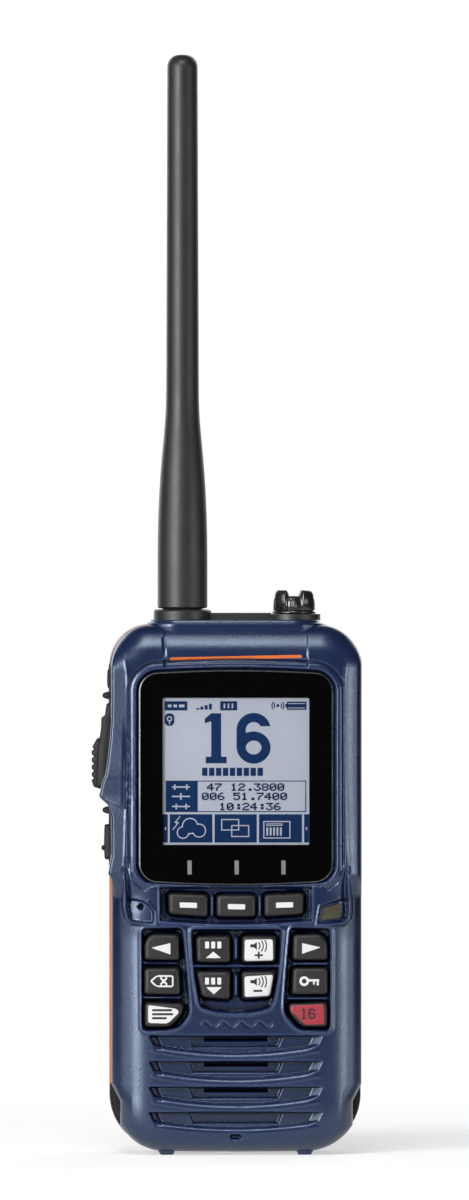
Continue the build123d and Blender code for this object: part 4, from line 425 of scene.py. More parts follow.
def patch(name, near, box, level, finish, body="radio", pitch=0.12, put=place):
    """The part of the surface f = level(x, z) inside near(x, z) = 0: a square grid over box whose
    outer points are drawn onto that line along near's slope, three times over."""
    x, z = np.meshgrid(np.arange(box[0], box[2] + pitch, pitch), np.arange(box[1], box[3] + pitch, pitch))
    inside = near(x, z) < 0
    quads = grid_faces(*x.shape)
    quads = quads[inside.ravel()[quads].any(1)]
    for _ in range(3):
        out = np.where(inside, 0, near(x, z))
        slope_x, slope_z = slopes(near, x, z)
        size = np.maximum(slope_x ** 2 + slope_z ** 2, 0.25)
        x, z = x - slope_x * out / size, z - slope_z * out / size
    used, quads = renumbered(quads)
    return make_piece(name, put(x, level(x, z), z)[used], quads, finish, body)


def union(*shapes):
    """The least of several distances: their shapes together."""
    least = shapes[0]
    for shape in shapes[1:]:
        least = np.minimum(least, shape)
    return least


def stroke(x, z, points, half=0.2):
    """Distance to a line of that half width with round ends and corners."""
    return line_distance(x, z, points) - half


def ring_stroke(x, z, middle, radius, half=0.2):
    """Distance to a circle's line of that half width."""
    return np.abs(np.hypot(x - middle[0], z - middle[1]) - radius) - half


# ================================================================ case outline
HALF, TOP, BOTTOM, SHOULDER_R, HEEL_R, SAG = 33.0, 139.0, 0.8, 10.8, 14.5, 0.4
LEFT_TRIM = 0.45
TOE_X, TOE_START = 30.7, 27.5
# wings on the left edge: heights, and how far they stand out there
GUARD_Z = (
    68.0, 70.4, 72.4, 73.8, 76.6, 78.5, 80.4, 85.1, 88.6, 89.8, 91.9,
    93.6, 94.4, 96.3, 98.4, 99.6, 103.3, 108.7, 114.1, 119.0, 124.0,
)
GUARD_REACH = (
    0.0, 0.0, 0.1, 0.9, 0.5, 0.0, 0.0, 0.0, 0.1, 0.4, 1.0,
    3.0, 3.3, 2.8, 2.3, 1.7, 1.1, 0.5, 0.1, 0.0, 0.0,
)


def guard_reach(z):
    """How far the wings on the left edge stand out at a height."""
    return np.interp(z, GUARD_Z, GUARD_REACH)


def quarter(inset, width, drop):
    """A quarter ellipse: 0 further in than width, and drop at the edge itself."""
    rim = np.clip(1 - inset / width, 0, 1)
    return drop * (1 - np.sqrt(1 - rim * rim))


def case_inset(x, z):
    """Distance inwards from the unwarped case outline: a rectangle with its own top and bottom radii."""
    middle = (TOP + BOTTOM) / 2
    half_z = (TOP - BOTTOM) / 2
    upper = rounded_box(x, z - middle, HALF, half_z, SHOULDER_R)
    lower = rounded_box(x, z - middle, HALF, half_z, HEEL_R)
    return -np.where(z > middle, upper, lower)


def heel_reach(z):
    """The plain outline's half width at a height, on the arc of its bottom corners."""
    return HALF - HEEL_R + np.sqrt(HEEL_R ** 2 - np.clip(BOTTOM + HEEL_R - z, 0, HEEL_R - 0.1) ** 2)


def warp(x, z):
    """Moves plain outline coordinates to real ones: the left wings outwards, the bottom edge down in
    its middle, and the bottom corners inwards to a straight cut that leaves room for the toe pads."""
    lift = SAG * (x / HALF) ** 2 * step(z, 25, 3)
    reach = heel_reach(z)
    cut = TOE_X + 0.5 * np.clip(z - 13.8, 0, None)
    share = np.clip((cut - TOE_START) / np.maximum(reach - TOE_START, 0.5), 0, 1)
    toe = (1 - share) * np.clip(np.abs(x) - TOE_START, 0, None) * (z > 7) * (z < 20)
    return x + (LEFT_TRIM - guard_reach(z)) * step(x, -24, -30.5) - np.sign(x) * toe, z + lift


def case_loop(count=900):
    """Points and outward directions evenly round the plain case outline."""
    corners = (
        (HALF - HEEL_R, BOTTOM + HEEL_R, HEEL_R, -90),
        (HALF - SHOULDER_R, TOP - SHOULDER_R, SHOULDER_R, 0),
        (-HALF + SHOULDER_R, TOP - SHOULDER_R, SHOULDER_R, 90),
        (-HALF + HEEL_R, BOTTOM + HEEL_R, HEEL_R, 180),
    )
    points, ways = [], []
    for cx, cz, r, start in corners:
        angle = np.radians(start + np.linspace(0, 90, 61))
        points.append(np.stack((cx + r * np.cos(angle), cz + r * np.sin(angle)), -1))
        ways.append(np.stack((np.cos(angle), np.sin(angle)), -1))
    points, ways = np.concatenate(points), np.concatenate(ways)
    run = np.concatenate(([0], np.cumsum(np.hypot(*np.diff(points, axis=0, append=points[:1]).T))))
    at = np.linspace(0, run[-1], count, endpoint=False)
    evenly = [[np.interp(at, run, np.append(a[:, k], a[0, k])) for k in (0, 1)] for a in (points, ways)]
    points, ways = (np.stack(columns, -1) for columns in evenly)
    return points, ways / np.linalg.norm(ways, axis=1, keepdims=True)


# ================================================================ front face
# the corners (x, z) of the front keys
KEYS = {
    "soft_key_left": ((-17.75, 68.8), (-7.4, 68.4), (-7.4, 62.6), (-17.6, 63.3)),
    "soft_key_middle": ((-5.1, 68.3), (5.1, 68.3), (5.1, 62.6), (-5.1, 62.6)),
    "soft_key_right": ((7.4, 68.4), (17.75, 68.8), (17.6, 63.3), (7.4, 62.6)),
    "left_arrow_key": ((-23.95, 56.2), (-22.2, 58.1), (-15.0, 57.9), (-14.8, 51.2), (-23.95, 51.3)),
    "right_arrow_key": ((23.95, 56.2), (22.2, 58.1), (15.0, 57.9), (14.8, 51.2), (23.95, 51.3)),
    "clear_key": ((-24.0, 49.2), (-14.9, 49.2), (-14.6, 42.2), (-24.0, 42.3)),
    "lock_key": ((24.0, 49.2), (14.9, 49.2), (14.6, 42.2), (24.0, 42.3)),
    "menu_key": ((-23.9, 40.2), (-13.8, 39.9), (-13.9, 37.2), (-17.3, 33.7), (-23.9, 33.8)),
    "red_key": ((23.9, 40.2), (13.8, 39.9), (13.9, 37.2), (17.3, 33.7), (23.9, 33.8)),
    "channel_up_key": ((-10.5, 57.5), (-1.6, 57.6), (-1.5, 50.6), (-10.3, 50.7)),
    "volume_up_key": ((10.5, 57.5), (1.6, 57.6), (1.5, 50.6), (10.3, 50.7)),
    "channel_down_key": ((-10.4, 48.3), (-1.5, 48.3), (-1.6, 40.9), (-8.9, 41.5)),
    "volume_down_key": ((10.4, 48.3), (1.5, 48.3), (1.6, 40.9), (8.9, 41.5)),
}
KEY_R = 0.95
WINDOW_Z = 99.05


def key_distance(x, z, corners):
    """Distance to a key's outline, negative inside."""
    return facets(x, z, corners, KEY_R)


def window_distance(x, z):
    """Distance out from the window pane, whose top and bottom edges bulge by 1."""
    bulge = 1 - np.clip(np.abs(x) / 25.4, 0, 1) ** 2
    return rounded_box(x, z - WINDOW_Z, 25.4, 27.15 + bulge, 4.5)


# crests beside the window: heights, and the x of each crest there
RIDGE_Z = (71.0, 75.4, 79.0, 90.0, 96.0, 104.0, 120.0, 126.0, 129.5, 132.0)
LEFT_RIDGE_X = (-29.3, -29.4, -29.1, -28.8, -28.4, -28.3, -28.3, -28.5, -29.0, -29.6)
RIGHT_RIDGE_X = (29.2, 29.2, 28.9, 28.6, 28.4, 28.2, 28.2, 28.4, 28.9, 29.4)
# outlines and crest lines (x, z) of the pockets and recesses
LEFT_POCKET_RIDGE = (
    (-29.4, 75.4), (-29.2, 70.0), (-29.1, 65.0), (-28.5, 62.4), (-27.2, 61.0), (-24.5, 60.6), (-21.2, 60.5),
    (-21.2, 64.0), (-23.1, 66.8),
)
RIGHT_POCKET_RIDGE = (
    (29.2, 75.4), (29.6, 70.0), (29.8, 64.5), (29.5, 62.3), (28.2, 60.8), (25.0, 60.5), (21.0, 60.5),
    (21.9, 65.6),
)
LEFT_POCKET = (
    (-28.6, 67.3), (-25.6, 67.2), (-23.3, 66.3), (-21.6, 64.0), (-21.6, 61.0), (-27.1, 61.4), (-28.7, 63.4),
)
RIGHT_POCKET = ((28.9, 67.6), (25.0, 66.6), (22.2, 65.7), (21.3, 61.0), (28.0, 61.3), (29.2, 63.0))
LEFT_COLUMN = (
    (-24.6, 59.4), (-13.1, 59.6), (-12.8, 52.0), (-12.0, 44.1), (-11.2, 38.2), (-14.8, 33.6), (-16.8, 32.9),
    (-24.4, 32.8),
)
RIGHT_COLUMN = (
    (13.2, 59.6), (24.6, 59.4), (24.5, 32.8), (16.6, 32.9), (11.6, 38.4), (12.3, 44.1), (13.0, 52.0),
)
INNER_RECESS = (
    (-11.5, 59.2), (11.8, 59.2), (11.5, 50.1), (10.7, 44.1), (9.5, 39.2), (6.9, 37.9), (0, 37.2),
    (-6.9, 37.9), (-9.5, 39.2), (-10.8, 45.4), (-11.4, 50.1),
)
STROBE_OPENING = ((23.2, 64.6), (27.1, 65.7), (27.1, 63.0), (22.5, 61.9))
# window frame: squeezed distances from the pane, and f there
FRAME_S = (-0.3, 0.02, 0.10, 0.45, 0.70, 0.9, 1.05, 1.3, 1.6, 2.0, 2.3, 2.5, 2.65, 2.8, 2.95, 3.1)
FRAME_F = (
    17.6, 17.6, 18.2, 18.2, 19.45, 20.0, 20.12, 20.16,
    20.11, 19.99, 19.90, 19.55, 19.30, 19.38, 19.70, 19.95,
)
# ribs between the keys: z, and the x of both ends
CROSS_RIBS = (
    (50.6, -23.8, -15.6), (41.5, -23.8, -14.6), (50.3, 15.2, 23.8), (41.2, 13.6, 23.8), (49.7, -11.6, 11.6),
)
SLOT_TOPS = (31.35, 24.7, 17.95, 11.35)
SLOT_HALF = 22.7
CEILING = 20.28


def recess(f, near, depth, wall=0.7, bead=0.0):
    """Lowers f by depth inside a line (near is the distance out of it), down a wall of that width
    and, if bead is set, with a small rounded bead along the rim."""
    f = f - depth * step(-near, -0.3 * wall, 0.7 * wall)
    return f + bead * hump(near - 0.45 * wall - 0.2, 0.9) if bead else f


def rib(f, near, level, half=0.45):
    """Raises f to a rounded rib of that level where near, the distance from its line, is under half."""
    return np.maximum(f, level - 1.2 * np.clip(near / half, 0, 3) ** 2.4)


def face_depth(x, z, inset):
    """How far the front surface stands forward of the seam at (x, z). Its edge is a wide quarter
    ellipse below and above, and a flat facet outside a crest beside the window. Then come the window
    frame's section by distance from the pane, and the pockets, recesses, ribs, key wells and speaker
    slots one after another as smooth steps."""
    ridge_left = np.interp(z, RIDGE_Z, LEFT_RIDGE_X)
    ridge_right = np.interp(z, RIDGE_Z, RIGHT_RIDGE_X)
    outside = np.maximum(ridge_left - x, x - ridge_right)
    beside = step(z, 67, 74) * step(z, 136, 127)
    out = np.clip(outside, 0, None)
    left_facet = 0.155 * out
    right_facet = 0.30 * out + 0.045 * out ** 2
    facet = np.where(x < 0, left_facet + quarter(inset, 0.6, 0.8), right_facet + quarter(inset, 1.5, 1.9))
    low = quarter(inset, 13.0 - 6.0 * step(z, 16, 4), 6.5)
    high = quarter(inset, 10.0, 6.3)
    f = FACE - 0.25 * (x / 25) ** 2 * step(z, 64, 56)
    f = f - facet * beside - np.where(z > 100, high, low) * (1 - beside)
    f = f + 0.10 * hump(outside, 0.5) * step(z, 72.5, 75.5) * step(z, 133, 127)

    # the wing beside the talk button stands on the facet, with a step along its underside
    above = z - 90.7 - 0.43 * (-28.9 - x)
    f = f + 0.55 * step(above, -0.15, 0.45) * step(z, 116, 98) * step(-28.7 - x, 0, 1.2)

    # window frame by distance from the pane, squeezed under the window
    away = window_distance(x, z)
    squeeze = 1 + 2.4 * step(z, 72.5, 70.6) * step(np.abs(x), 24.0, 20.5)
    s = away * squeeze
    section = np.interp(s, FRAME_S, FRAME_F)
    side = step(z, 73.5, 77)
    section = np.where(s > 2.3, section + (np.minimum(20.05, f) - section) * (1 - side), section)
    low_lip = step(z, 73, 70.8)
    section = section - 0.25 * low_lip * step(s, 0.4, 1.4)
    f = np.where(s < 3.1, np.minimum(section, f + 0.3 + 9 * (s < 0.3)), f)

    # brow panel let in above the window, deeper towards the window, between two short creases
    brow = step(18.75 - np.abs(x), -0.25, 0.30) * step(away, 0.9, 1.9) * (z > 120)
    f = f - 0.7 * brow * step(z, 131.0, 128.2) - 0.2 * brow
    crease = line_distance(x, z, ((-18.9, 135.6), (-18.6, 128.6)))
    f = f - 0.30 * hump(crease, 0.6)

    # strip round the soft keys
    dip = 0.85 * (1 - np.clip(np.abs(x) / 19.9, 0, 1) ** 2)
    strip = np.minimum(19.8 - np.abs(x), np.minimum(70.3 - z, z - 61.6 + dip))
    f = recess(f, -strip, 2.6, 0.5)
    f = f + 0.12 * hump(strip + 0.35, 0.4) * (z < 70)
    for rib_x in (-6.3, 6.2):
        f = rib(f, line_distance(x, z, ((rib_x, 67.8), (rib_x, 63.0))), 20.05, 0.55)

    # pockets beside the soft keys, inside a crest that runs on from the frame's ridges
    pockets = ((LEFT_POCKET, LEFT_POCKET_RIDGE, -1), (RIGHT_POCKET, RIGHT_POCKET_RIDGE, 1))
    for pocket, crest, flank in pockets:
        near_crest = line_distance(x, z, crest)
        valley = line_distance(x, z, ((flank * 28.3, 67.0), (flank * 28.4, 71.0), (flank * 29.0, 75.2)))
        f = f - 0.75 * hump(valley, 1.0)
        f = recess(f, facets(x, z, pocket, 0.7), 0.65, 0.5)
        top = 20.2 - 0.35 * step(np.abs(x), 28.4, 30.0)
        f = np.maximum(f, top - 1.6 * np.clip(near_crest / 0.55, 0, 3) ** 2 - 0.9 * (near_crest > 0.9))

    # outer columns of keys let in, and the inner keys in a recess of their own
    f = recess(f, facets(x, z, LEFT_COLUMN, 1.0), 3.2, 0.6, 0.24)
    f = recess(f, facets(x, z, RIGHT_COLUMN, 1.0), 3.2, 0.6, 0.24)
    f = recess(f, facets(x, z, INNER_RECESS, 0.8), 3.2, 0.7, 0.34)
    for rib_z, low_x, high_x in CROSS_RIBS:
        f = rib(f, line_distance(x, z, ((low_x, rib_z), (high_x, rib_z))), 20.0)
    for low_z, high_z in ((51.9, 56.6), (42.2, 47.0)):
        f = rib(f, line_distance(x, z, ((0.0, low_z), (0.0, high_z))), 20.15, 0.55)

    # key wells
    for key in KEYS.values():
        f = f - 2.4 * step(key_distance(x, z, key), 0.72, 0.50)

    # a plain wave line cut in below the keys
    swing = x * 2 * math.pi / 4.8
    wave = (z - 34.4 - 0.7 * np.sin(swing)) / np.hypot(1, 0.9 * np.cos(swing))
    f = f - 0.16 * hump(wave, 0.45) * step(9.8 - np.abs(x), -0.2, 0.6)

    # speaker slots: a sharp straight top edge, sloped ends that lean in, a flat
    # floor, an arched and rounded lower lip, and a second recess with a slit inside
    off_middle = np.abs(x + 0.1)
    along = 1 - np.clip(off_middle / SLOT_HALF, 0, 1) ** 2
    for row, top in enumerate(SLOT_TOPS):
        down = top - z
        lip = 3.3 + 2.3 * along - 0.35 * (row == 3) * along
        end = 22.95 - 0.49 * np.clip(down, 0, 6) - off_middle
        right_wall = 1.6 * np.clip(end / 2.5, 0, 1)
        left_wall = 2.5 * step(end, 0, 0.8) - 0.9 * step(end, 1.7, 2.4)
        sunk = np.where(x > 0, right_wall, left_wall)
        sunk = sunk * (1 - np.sqrt(1 - np.clip((lip + 0.25 - down) / 1.5, 0, 1) ** 2))
        f = f - sunk * step(down, -0.06, 0.14) * (down < lip + 0.25)
        inner_end = 12.5 - 0.4 * np.clip(down, 0, 3) - off_middle
        inner = step(inner_end, 0.0, 0.55) * step(down, 0.1, 0.3) * step(3.05 - down, 0.0, 0.35)
        f = f - 0.85 * inner
        f = f + 0.10 * hump(down - lip - 0.45, 0.5) * step(SLOT_HALF - np.abs(x), 0.2, 1.2)
        if row < 3:
            slit = rounded_box(x, z - (top - 1.05), 8.3, 0.20, 0.15)
            f = f - 2.0 * step(slit, 0.12, -0.12)

    # drain, and the microphone's hole
    f = f - 1.3 * step(rounded_box(x + 0.1, z - 4.9, 1.35, 0.6, 0.4), 0.15, -0.15)
    f = f - 2.0 * step(np.hypot(x + 25.0, z - 65.2), 0.75, 0.5)
    return np.minimum(f, CEILING)


FACE_PITCH = 0.25
FACE_INSET = 1.0


def lie(depth, reach):
    """How far each point lies below the mean of its square neighbourhood, which running sums give
    along one axis and then the other; steep outer edges are held to the mean of the flat."""
    held = np.maximum(depth, FACE - 3.5)
    mean = held
    for axis in (0, 1):
        pad = [(0, 0), (0, 0)]
        pad[axis] = (reach + 1, reach)
        total = np.cumsum(np.pad(mean, pad, mode="edge"), axis)
        size = mean.shape[axis]
        first = np.take(total, np.arange(size), axis)
        last = np.take(total, np.arange(size) + 2 * reach + 1, axis)
        mean = (last - first) / (2 * reach + 1)
    return np.clip(mean - held, -1, 1.5)


def front_face():
    """The front surface as a height field: a square grid in the plain outline, kept where it is more
    than 1 mm in, its border drawn onto that line, warped, and lifted by face_depth."""
    across = np.arange(-HALF, HALF + FACE_PITCH, FACE_PITCH)
    up = np.arange(BOTTOM, TOP + FACE_PITCH, FACE_PITCH)
    gx, gz = np.meshgrid(across, up)
    inset = case_inset(gx, gz)
    nx, nz = slopes(case_inset, gx, gz)
    pull = np.where(inset < FACE_INSET, FACE_INSET - inset, 0)
    px, pz = gx + nx * pull, gz + nz * pull
    x, z = warp(px, pz)
    depth = face_depth(x, z, np.maximum(inset, FACE_INSET))
    quads = grid_faces(*gx.shape)
    cx = x.ravel()[quads].mean(1)
    cz = z.ravel()[quads].mean(1)
    keep = (inset.ravel()[quads] > FACE_INSET).any(1)
    keep &= window_distance(cx, cz) > -0.9
    for key in KEYS.values():
        keep &= key_distance(cx, cz, key) > 0.1
    keep &= facets(cx, cz, STROBE_OPENING, 0.1) > 0.3
    used, quads = renumbered(quads[keep])
    rise_x = np.gradient(depth, axis=1) / np.maximum(np.gradient(x, axis=1), 1e-3)
    rise_z = np.gradient(depth, axis=0) / np.maximum(np.gradient(z, axis=0), 1e-3)
    normals = np.stack((-rise_x, -np.ones_like(depth), -rise_z), -1).reshape(-1, 3)
    normals /= np.linalg.norm(normals, axis=1, keepdims=True)
    points = place(x, depth, z)[used]
    face = make_piece("front_face", points, quads, navy, normals=normals[used])
    # painted shade: how far each point lies below its surroundings, kept on the mesh; the case plastic
    # darkens its colour there and pales it on ridges as wear and painted highlight
    painted_shade = face.data.attributes.new("painted_shade", "FLOAT", "POINT")
    near, wide = lie(depth, round(1.0 / FACE_PITCH)), lie(depth, round(3.0 / FACE_PITCH))
    painted_shade_values = np.where(near > 0, 0.6 * near + 0.7 * np.clip(wide, 0, None), near)
    painted_shade.data.foreach_set("value", painted_shade_values.ravel()[used].astype(np.float32))
    return face


# where the left wall is let in: lowest and highest f, lowest and highest z, and by how much
PANEL = (2.3, 10.5, 75.6, 128.9)
PANEL_SINK = 1.6


def edge_band():
    """The case's side wall: the outline carried through a section of (inset, f) pairs: the edge, whose
    f is the face's own, the wall, and the rim turned inwards. The left wall is let in under the panel."""
    loop, ways = case_loop()
    rim = 1 - np.linspace(0, 1, 9)
    walls = (12.6, 11.6, 11.2, 10.8, 10.5, 10.3, 8, 5, 2.5, 2.3, 1.6, 0.6)
    lip = ((0.12, 0.03), (0.5, 0.0), (2.2, 0.0), (2.2, 6.0))
    section = [(inset, None) for inset in rim] + [(0.0, f) for f in walls] + list(lip)
    x0, z0 = loop[:, 0], loop[:, 1]
    rows = []
    for inset, level in section:
        px, pz = x0 - ways[:, 0] * inset, z0 - ways[:, 1] * inset
        x, z = warp(px, pz)
        if level is None:
            f = face_depth(x, z, inset)
        else:
            f = np.full(len(x0), float(level))
            x = px + (x - px) * np.maximum(step(f, 10.3, 11.4), step(z, 76, 73))
            panel = (z > PANEL[2]) & (z < PANEL[3]) & (f < PANEL[1]) & (f > PANEL[0])
            x = x + PANEL_SINK * (panel & (ways[:, 0] < -0.9) & (inset == 0))
        rows.append(place(x, f, z))
    faces = grid_faces(len(section), len(x0), ring=True)[:, ::-1]
    make_piece("case_side", np.concatenate(rows), faces, navy)


AXIS_F = 8.2
DECK_TOP = 140.3
# x and radius of the two round holes
DECK_HOLES = ((-13.9, 4.2), (15.4, 5.1))
# distance out from the outline, and z
DECK_SECTION = (
    (-0.5, 136.0), (-0.05, 138.4), (0.0, 139.25), (-0.08, 139.42), (-0.25, 139.5), (-0.7, 139.52),
    (-0.85, 139.6), (-0.9, 140.0), (-1.0, 140.2), (-1.25, DECK_TOP), (-1.6, DECK_TOP),
)


def top_deck():
    """The raised deck: its plan outline carried through a two-step section, and a flat plate inside
    it with round holes for the antenna's socket and the jack."""
    half, reach, corner = 23.1, 17.5, 8.0
    angle = np.radians(np.linspace(0, 90, 25))
    left = np.stack((-half + corner - corner * np.cos(angle), reach - corner + corner * np.sin(angle)), -1)
    way = np.stack((-np.cos(angle), np.sin(angle)), -1)
    path = np.concatenate(([[-half, 0]], left, left[::-1] * (-1, 1), [[half, 0]]))
    ways = np.concatenate(([[-1, 0]], way, way[::-1] * (-1, 1), [[1, 0]]))
    rows = [place(*(path + ways * out).T, z) for out, z in DECK_SECTION]
    faces = grid_faces(len(rows), len(path))
    make_piece("top_deck", np.concatenate(rows), faces, navy)

    def plate_near(x, f):
        """Inside the rounded outline, in front of f = 0, and outside the holes."""
        plate = np.maximum(rounded_box(x, f, half - 1.6, reach - 1.6, corner - 1.6), -f)
        holes = [np.hypot(x - mid, f - AXIS_F) - radius for mid, radius in DECK_HOLES]
        return np.maximum(plate, -union(*holes))

    def plate_level(x, _):
        """Flat."""
        return DECK_TOP + 0 * x

    box = (-half, -0.4, half, reach)
    patch("deck_plate", plate_near, box, plate_level, navy, pitch=0.35, put=place_up)


FOOT_X, FOOT_F = 18.1, 11.5
# share of the foot's size, and z
FOOT_SECTION = ((0.2, 0.0), (0.9, 0.0), (1.0, 0.08), (1.08, 0.5), (1.25, 1.0), (1.3, 3.0))
# inset and f
PAD_SECTION = (
    (0.3, 0.2), (0.06, 0.25), (0.05, 0.5), (0.05, 5.0), (0.1, 5.6), (0.3, 6.2), (0.7, 6.6), (1.3, 6.8),
    (2.8, 6.8),
)


def front_feet():
    """Two wedge feet: a rounded rectangle in plan carried up through a widening section."""
    turn = np.linspace(0, 2 * np.pi, 49)[:-1]
    wide, deep = (np.sign(a) * np.abs(a) ** 0.35 for a in (np.cos(turn), np.sin(turn)))
    for sign, name in ((-1, "left_foot"), (1, "right_foot")):
        rows = []
        for grow, z in FOOT_SECTION:
            rows.append(place(sign * FOOT_X + 1.8 * grow * wide, FOOT_F + 3.2 * min(grow, 1.1) * deep, z))
        points = np.concatenate(rows + [place(sign * FOOT_X, FOOT_F, 0.0)])
        faces = grid_faces(len(rows), len(turn), ring=True).tolist() + fan(len(turn), len(points) - 1)
        make_piece(name, points, faces, navy)


def toe_pads():
    """Black pads in the two bottom corners: the outline's arc carried through a section of
    (inset, f) pairs that turns inwards over the cut in the case."""
    z = np.linspace(6.2, 18.0, 49)
    for sign, name in ((-1, "left_toe_pad"), (1, "right_toe_pad")):
        rows = [place(sign * (heel_reach(z) - inset), f, z + 0.3) for inset, f in PAD_SECTION]
        faces = grid_faces(len(rows), len(z))
        faces = faces[:, ::-1] if sign < 0 else faces
        make_piece(name, np.concatenate(rows), faces, toe_rubber)


toe_pads()
shell = front_face()
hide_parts("front_case")
edge_band()
top_deck()
front_feet()


# ================================================================ keys
KEY_TOP = 20.22
WELL_DROPS = (0.25, 0.8, 2.4)


def key_level(corners):
    """A key's top as a function: slightly crowned, with a quarter-ellipse rim 1.1 wide and 0.9 deep."""
    mid = np.mean(corners, 0)

    def level(x, z):
        """The crown's two parabolas, less the rim's quarter ellipse."""
        crown = 0.10 * (((x - mid[0]) / 5) ** 2 + ((z - mid[1]) / 4) ** 2)
        return KEY_TOP - crown - quarter(-key_distance(x, z, corners), 1.1, 0.9)

    return level


def key_cap(name, corners):
    """A key: rays from its middle out to its outline, found by halving, with rows that crowd towards
    the rim and a skirt that goes down into the well."""
    mid = np.mean(corners, 0)
    turn = np.linspace(0, 2 * np.pi, 145)[:-1]
    near, far = np.zeros(len(turn)), np.full(len(turn), 9.0)
    for _ in range(24):
        half = (near + far) / 2
        out = key_distance(mid[0] + half * np.cos(turn), mid[1] + half * np.sin(turn), corners) > 0
        near, far = np.where(out, near, half), np.where(out, half, far)
    share = 1 - (1 - np.linspace(0, 1, 26)[:, None]) ** 1.8
    x = mid[0] + share * near * np.cos(turn)
    z = mid[1] + share * near * np.sin(turn)
    f = key_level(corners)(x, z)
    skirt = [f[-1] - drop for drop in WELL_DROPS]
    x, z = (np.concatenate((a, np.repeat(a[-1:], len(skirt), 0))) for a in (x, z))
    points = place(x, np.concatenate((f, skirt)), z)
    piece = make_piece(name + "_cap", points, grid_faces(*x.shape, ring=True), key_rubber, name)
    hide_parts(name)


def mark(name, key, shape, box, finish=key_mark, lift=0.02):
    """A printed mark or an insert that follows the key's top a little above it."""
    top = key_level(KEYS[key])
    patch(name, shape, box, lambda x, z: top(x, z) + lift, finish, key)


def facet_mark(name, key, corners, radius, finish=key_mark, lift=0.02):
    """A mark with straight edges and rounded corners."""
    xs, zs = zip(*corners)
    box = (min(xs) - 0.3, min(zs) - 0.3, max(xs) + 0.3, max(zs) + 0.3)
    mark(name, key, lambda x, z: facets(x, z, corners, radius), box, finish, lift)


def dash(mid_x, mid_z, lean):
    """A short dash as a function, rising by lean."""
    return lambda x, z: rounded_box(x - mid_x, z - mid_z - lean * (x - mid_x), 2.25, 0.68, 0.15)


def blocks(boxes):
    """Several upright boxes (mid x, mid z, half x, half z, corner radius) as one function."""
    return lambda x, z: union(*(rounded_box(x - box[0], z - box[1], *box[2:]) for box in boxes))


for key, corners in KEYS.items():
    key_cap(key, corners)

# key, middle x and z, and slope
DASHES = (
    ("soft_key_left", -12.5, 65.65, -0.03),
    ("soft_key_middle", 0.1, 65.25, -0.02),
    ("soft_key_right", 12.7, 65.7, 0.03),
)
for key, mid_x, mid_z, lean in DASHES:
    mark(key + "_dash", key, dash(mid_x, mid_z, lean), (mid_x - 2.8, mid_z - 1.2, mid_x + 2.8, mid_z + 1.2))

TRIANGLES = {
    "left_arrow": ((-22.2, 54.5), (-17.2, 55.75), (-17.2, 52.75)),
    "right_arrow": ((22.2, 54.6), (17.3, 55.7), (17.3, 52.9)),
    "channel_up": ((-5.95, 53.5), (-7.95, 51.8), (-3.95, 51.8)),
    "channel_down": ((-5.85, 42.3), (-7.85, 44.2), (-3.7, 44.2)),
}
for name, corners in TRIANGLES.items():
    facet_mark(name + "_triangle", name + "_key", corners, 0.12)

for key, mid_z in (("channel_up_key", 55.2), ("channel_down_key", 45.75)):
    steps = blocks([(mid_x, mid_z + 0.02, 0.52, 0.9, 0.2) for mid_x in (-7.6, -6.0, -4.4)])
    mark(key + "_steps", key, steps, (-8.4, mid_z - 1.2, -3.6, mid_z + 1.2))

INSERTS = {
    "volume_up_key": ((2.3, 56.6), (9.6, 56.7), (9.75, 51.2), (2.2, 51.0)),
    "volume_down_key": ((2.2, 47.0), (9.75, 47.4), (8.85, 41.9), (2.3, 41.6)),
    "menu_key": ((-23.0, 39.5), (-15.4, 38.5), (-14.9, 37.5), (-17.9, 34.65), (-23.0, 34.8)),
    "red_key": ((14.5, 39.3), (22.9, 39.7), (23.1, 34.5), (18.3, 34.2), (14.2, 38.1)),
}
for key, corners in INSERTS.items():
    facet_mark(key + "_insert", key, corners, 0.6, key_red if key == "red_key" else key_mark, 0.015)


def loudspeaker(x, z, left, mid):
    """A small loudspeaker: a box, a cone and two arcs."""
    box = rounded_box(x - left - 0.45, z - mid, 0.42, 0.42, 0.08)
    cone = facets(x, z, ((left + 0.5, mid), (left + 1.75, mid + 1.05), (left + 1.75, mid - 1.05)), 0.06)
    fan_out = np.abs(z - mid) - 0.75 * (x - left - 1.0)
    arcs = [np.maximum(ring_stroke(x, z, (left + 1.2, mid), r, 0.16), fan_out) for r in (1.35, 2.2, 3.05)]
    return union(box, cone, *arcs)


def clear_sign(x, z):
    """A five-sided outline pointing left with a cross in it."""
    corners = ((-22.3, 45.75), (-20.8, 47.1), (-16.6, 47.1), (-16.6, 44.4), (-20.8, 44.4))
    outline = np.abs(facets(x, z, corners, 0.35)) - 0.22
    falling = stroke(x, z, ((-19.65, 46.45), (-18.25, 45.05)), 0.24)
    rising = stroke(x, z, ((-19.65, 45.05), (-18.25, 46.45)), 0.24)
    return union(outline, falling, rising)


def lock_sign(x, z):
    """A key: a ring, a shaft and two teeth."""
    shaft_and_teeth = blocks(
        ((20.15, 45.95, 1.6, 0.30, 0.1), (20.4, 45.5, 0.25, 0.65, 0.08), (21.4, 45.4, 0.28, 0.75, 0.08))
    )
    return union(ring_stroke(x, z, (17.85, 45.75), 0.95, 0.33), shaft_and_teeth(x, z))


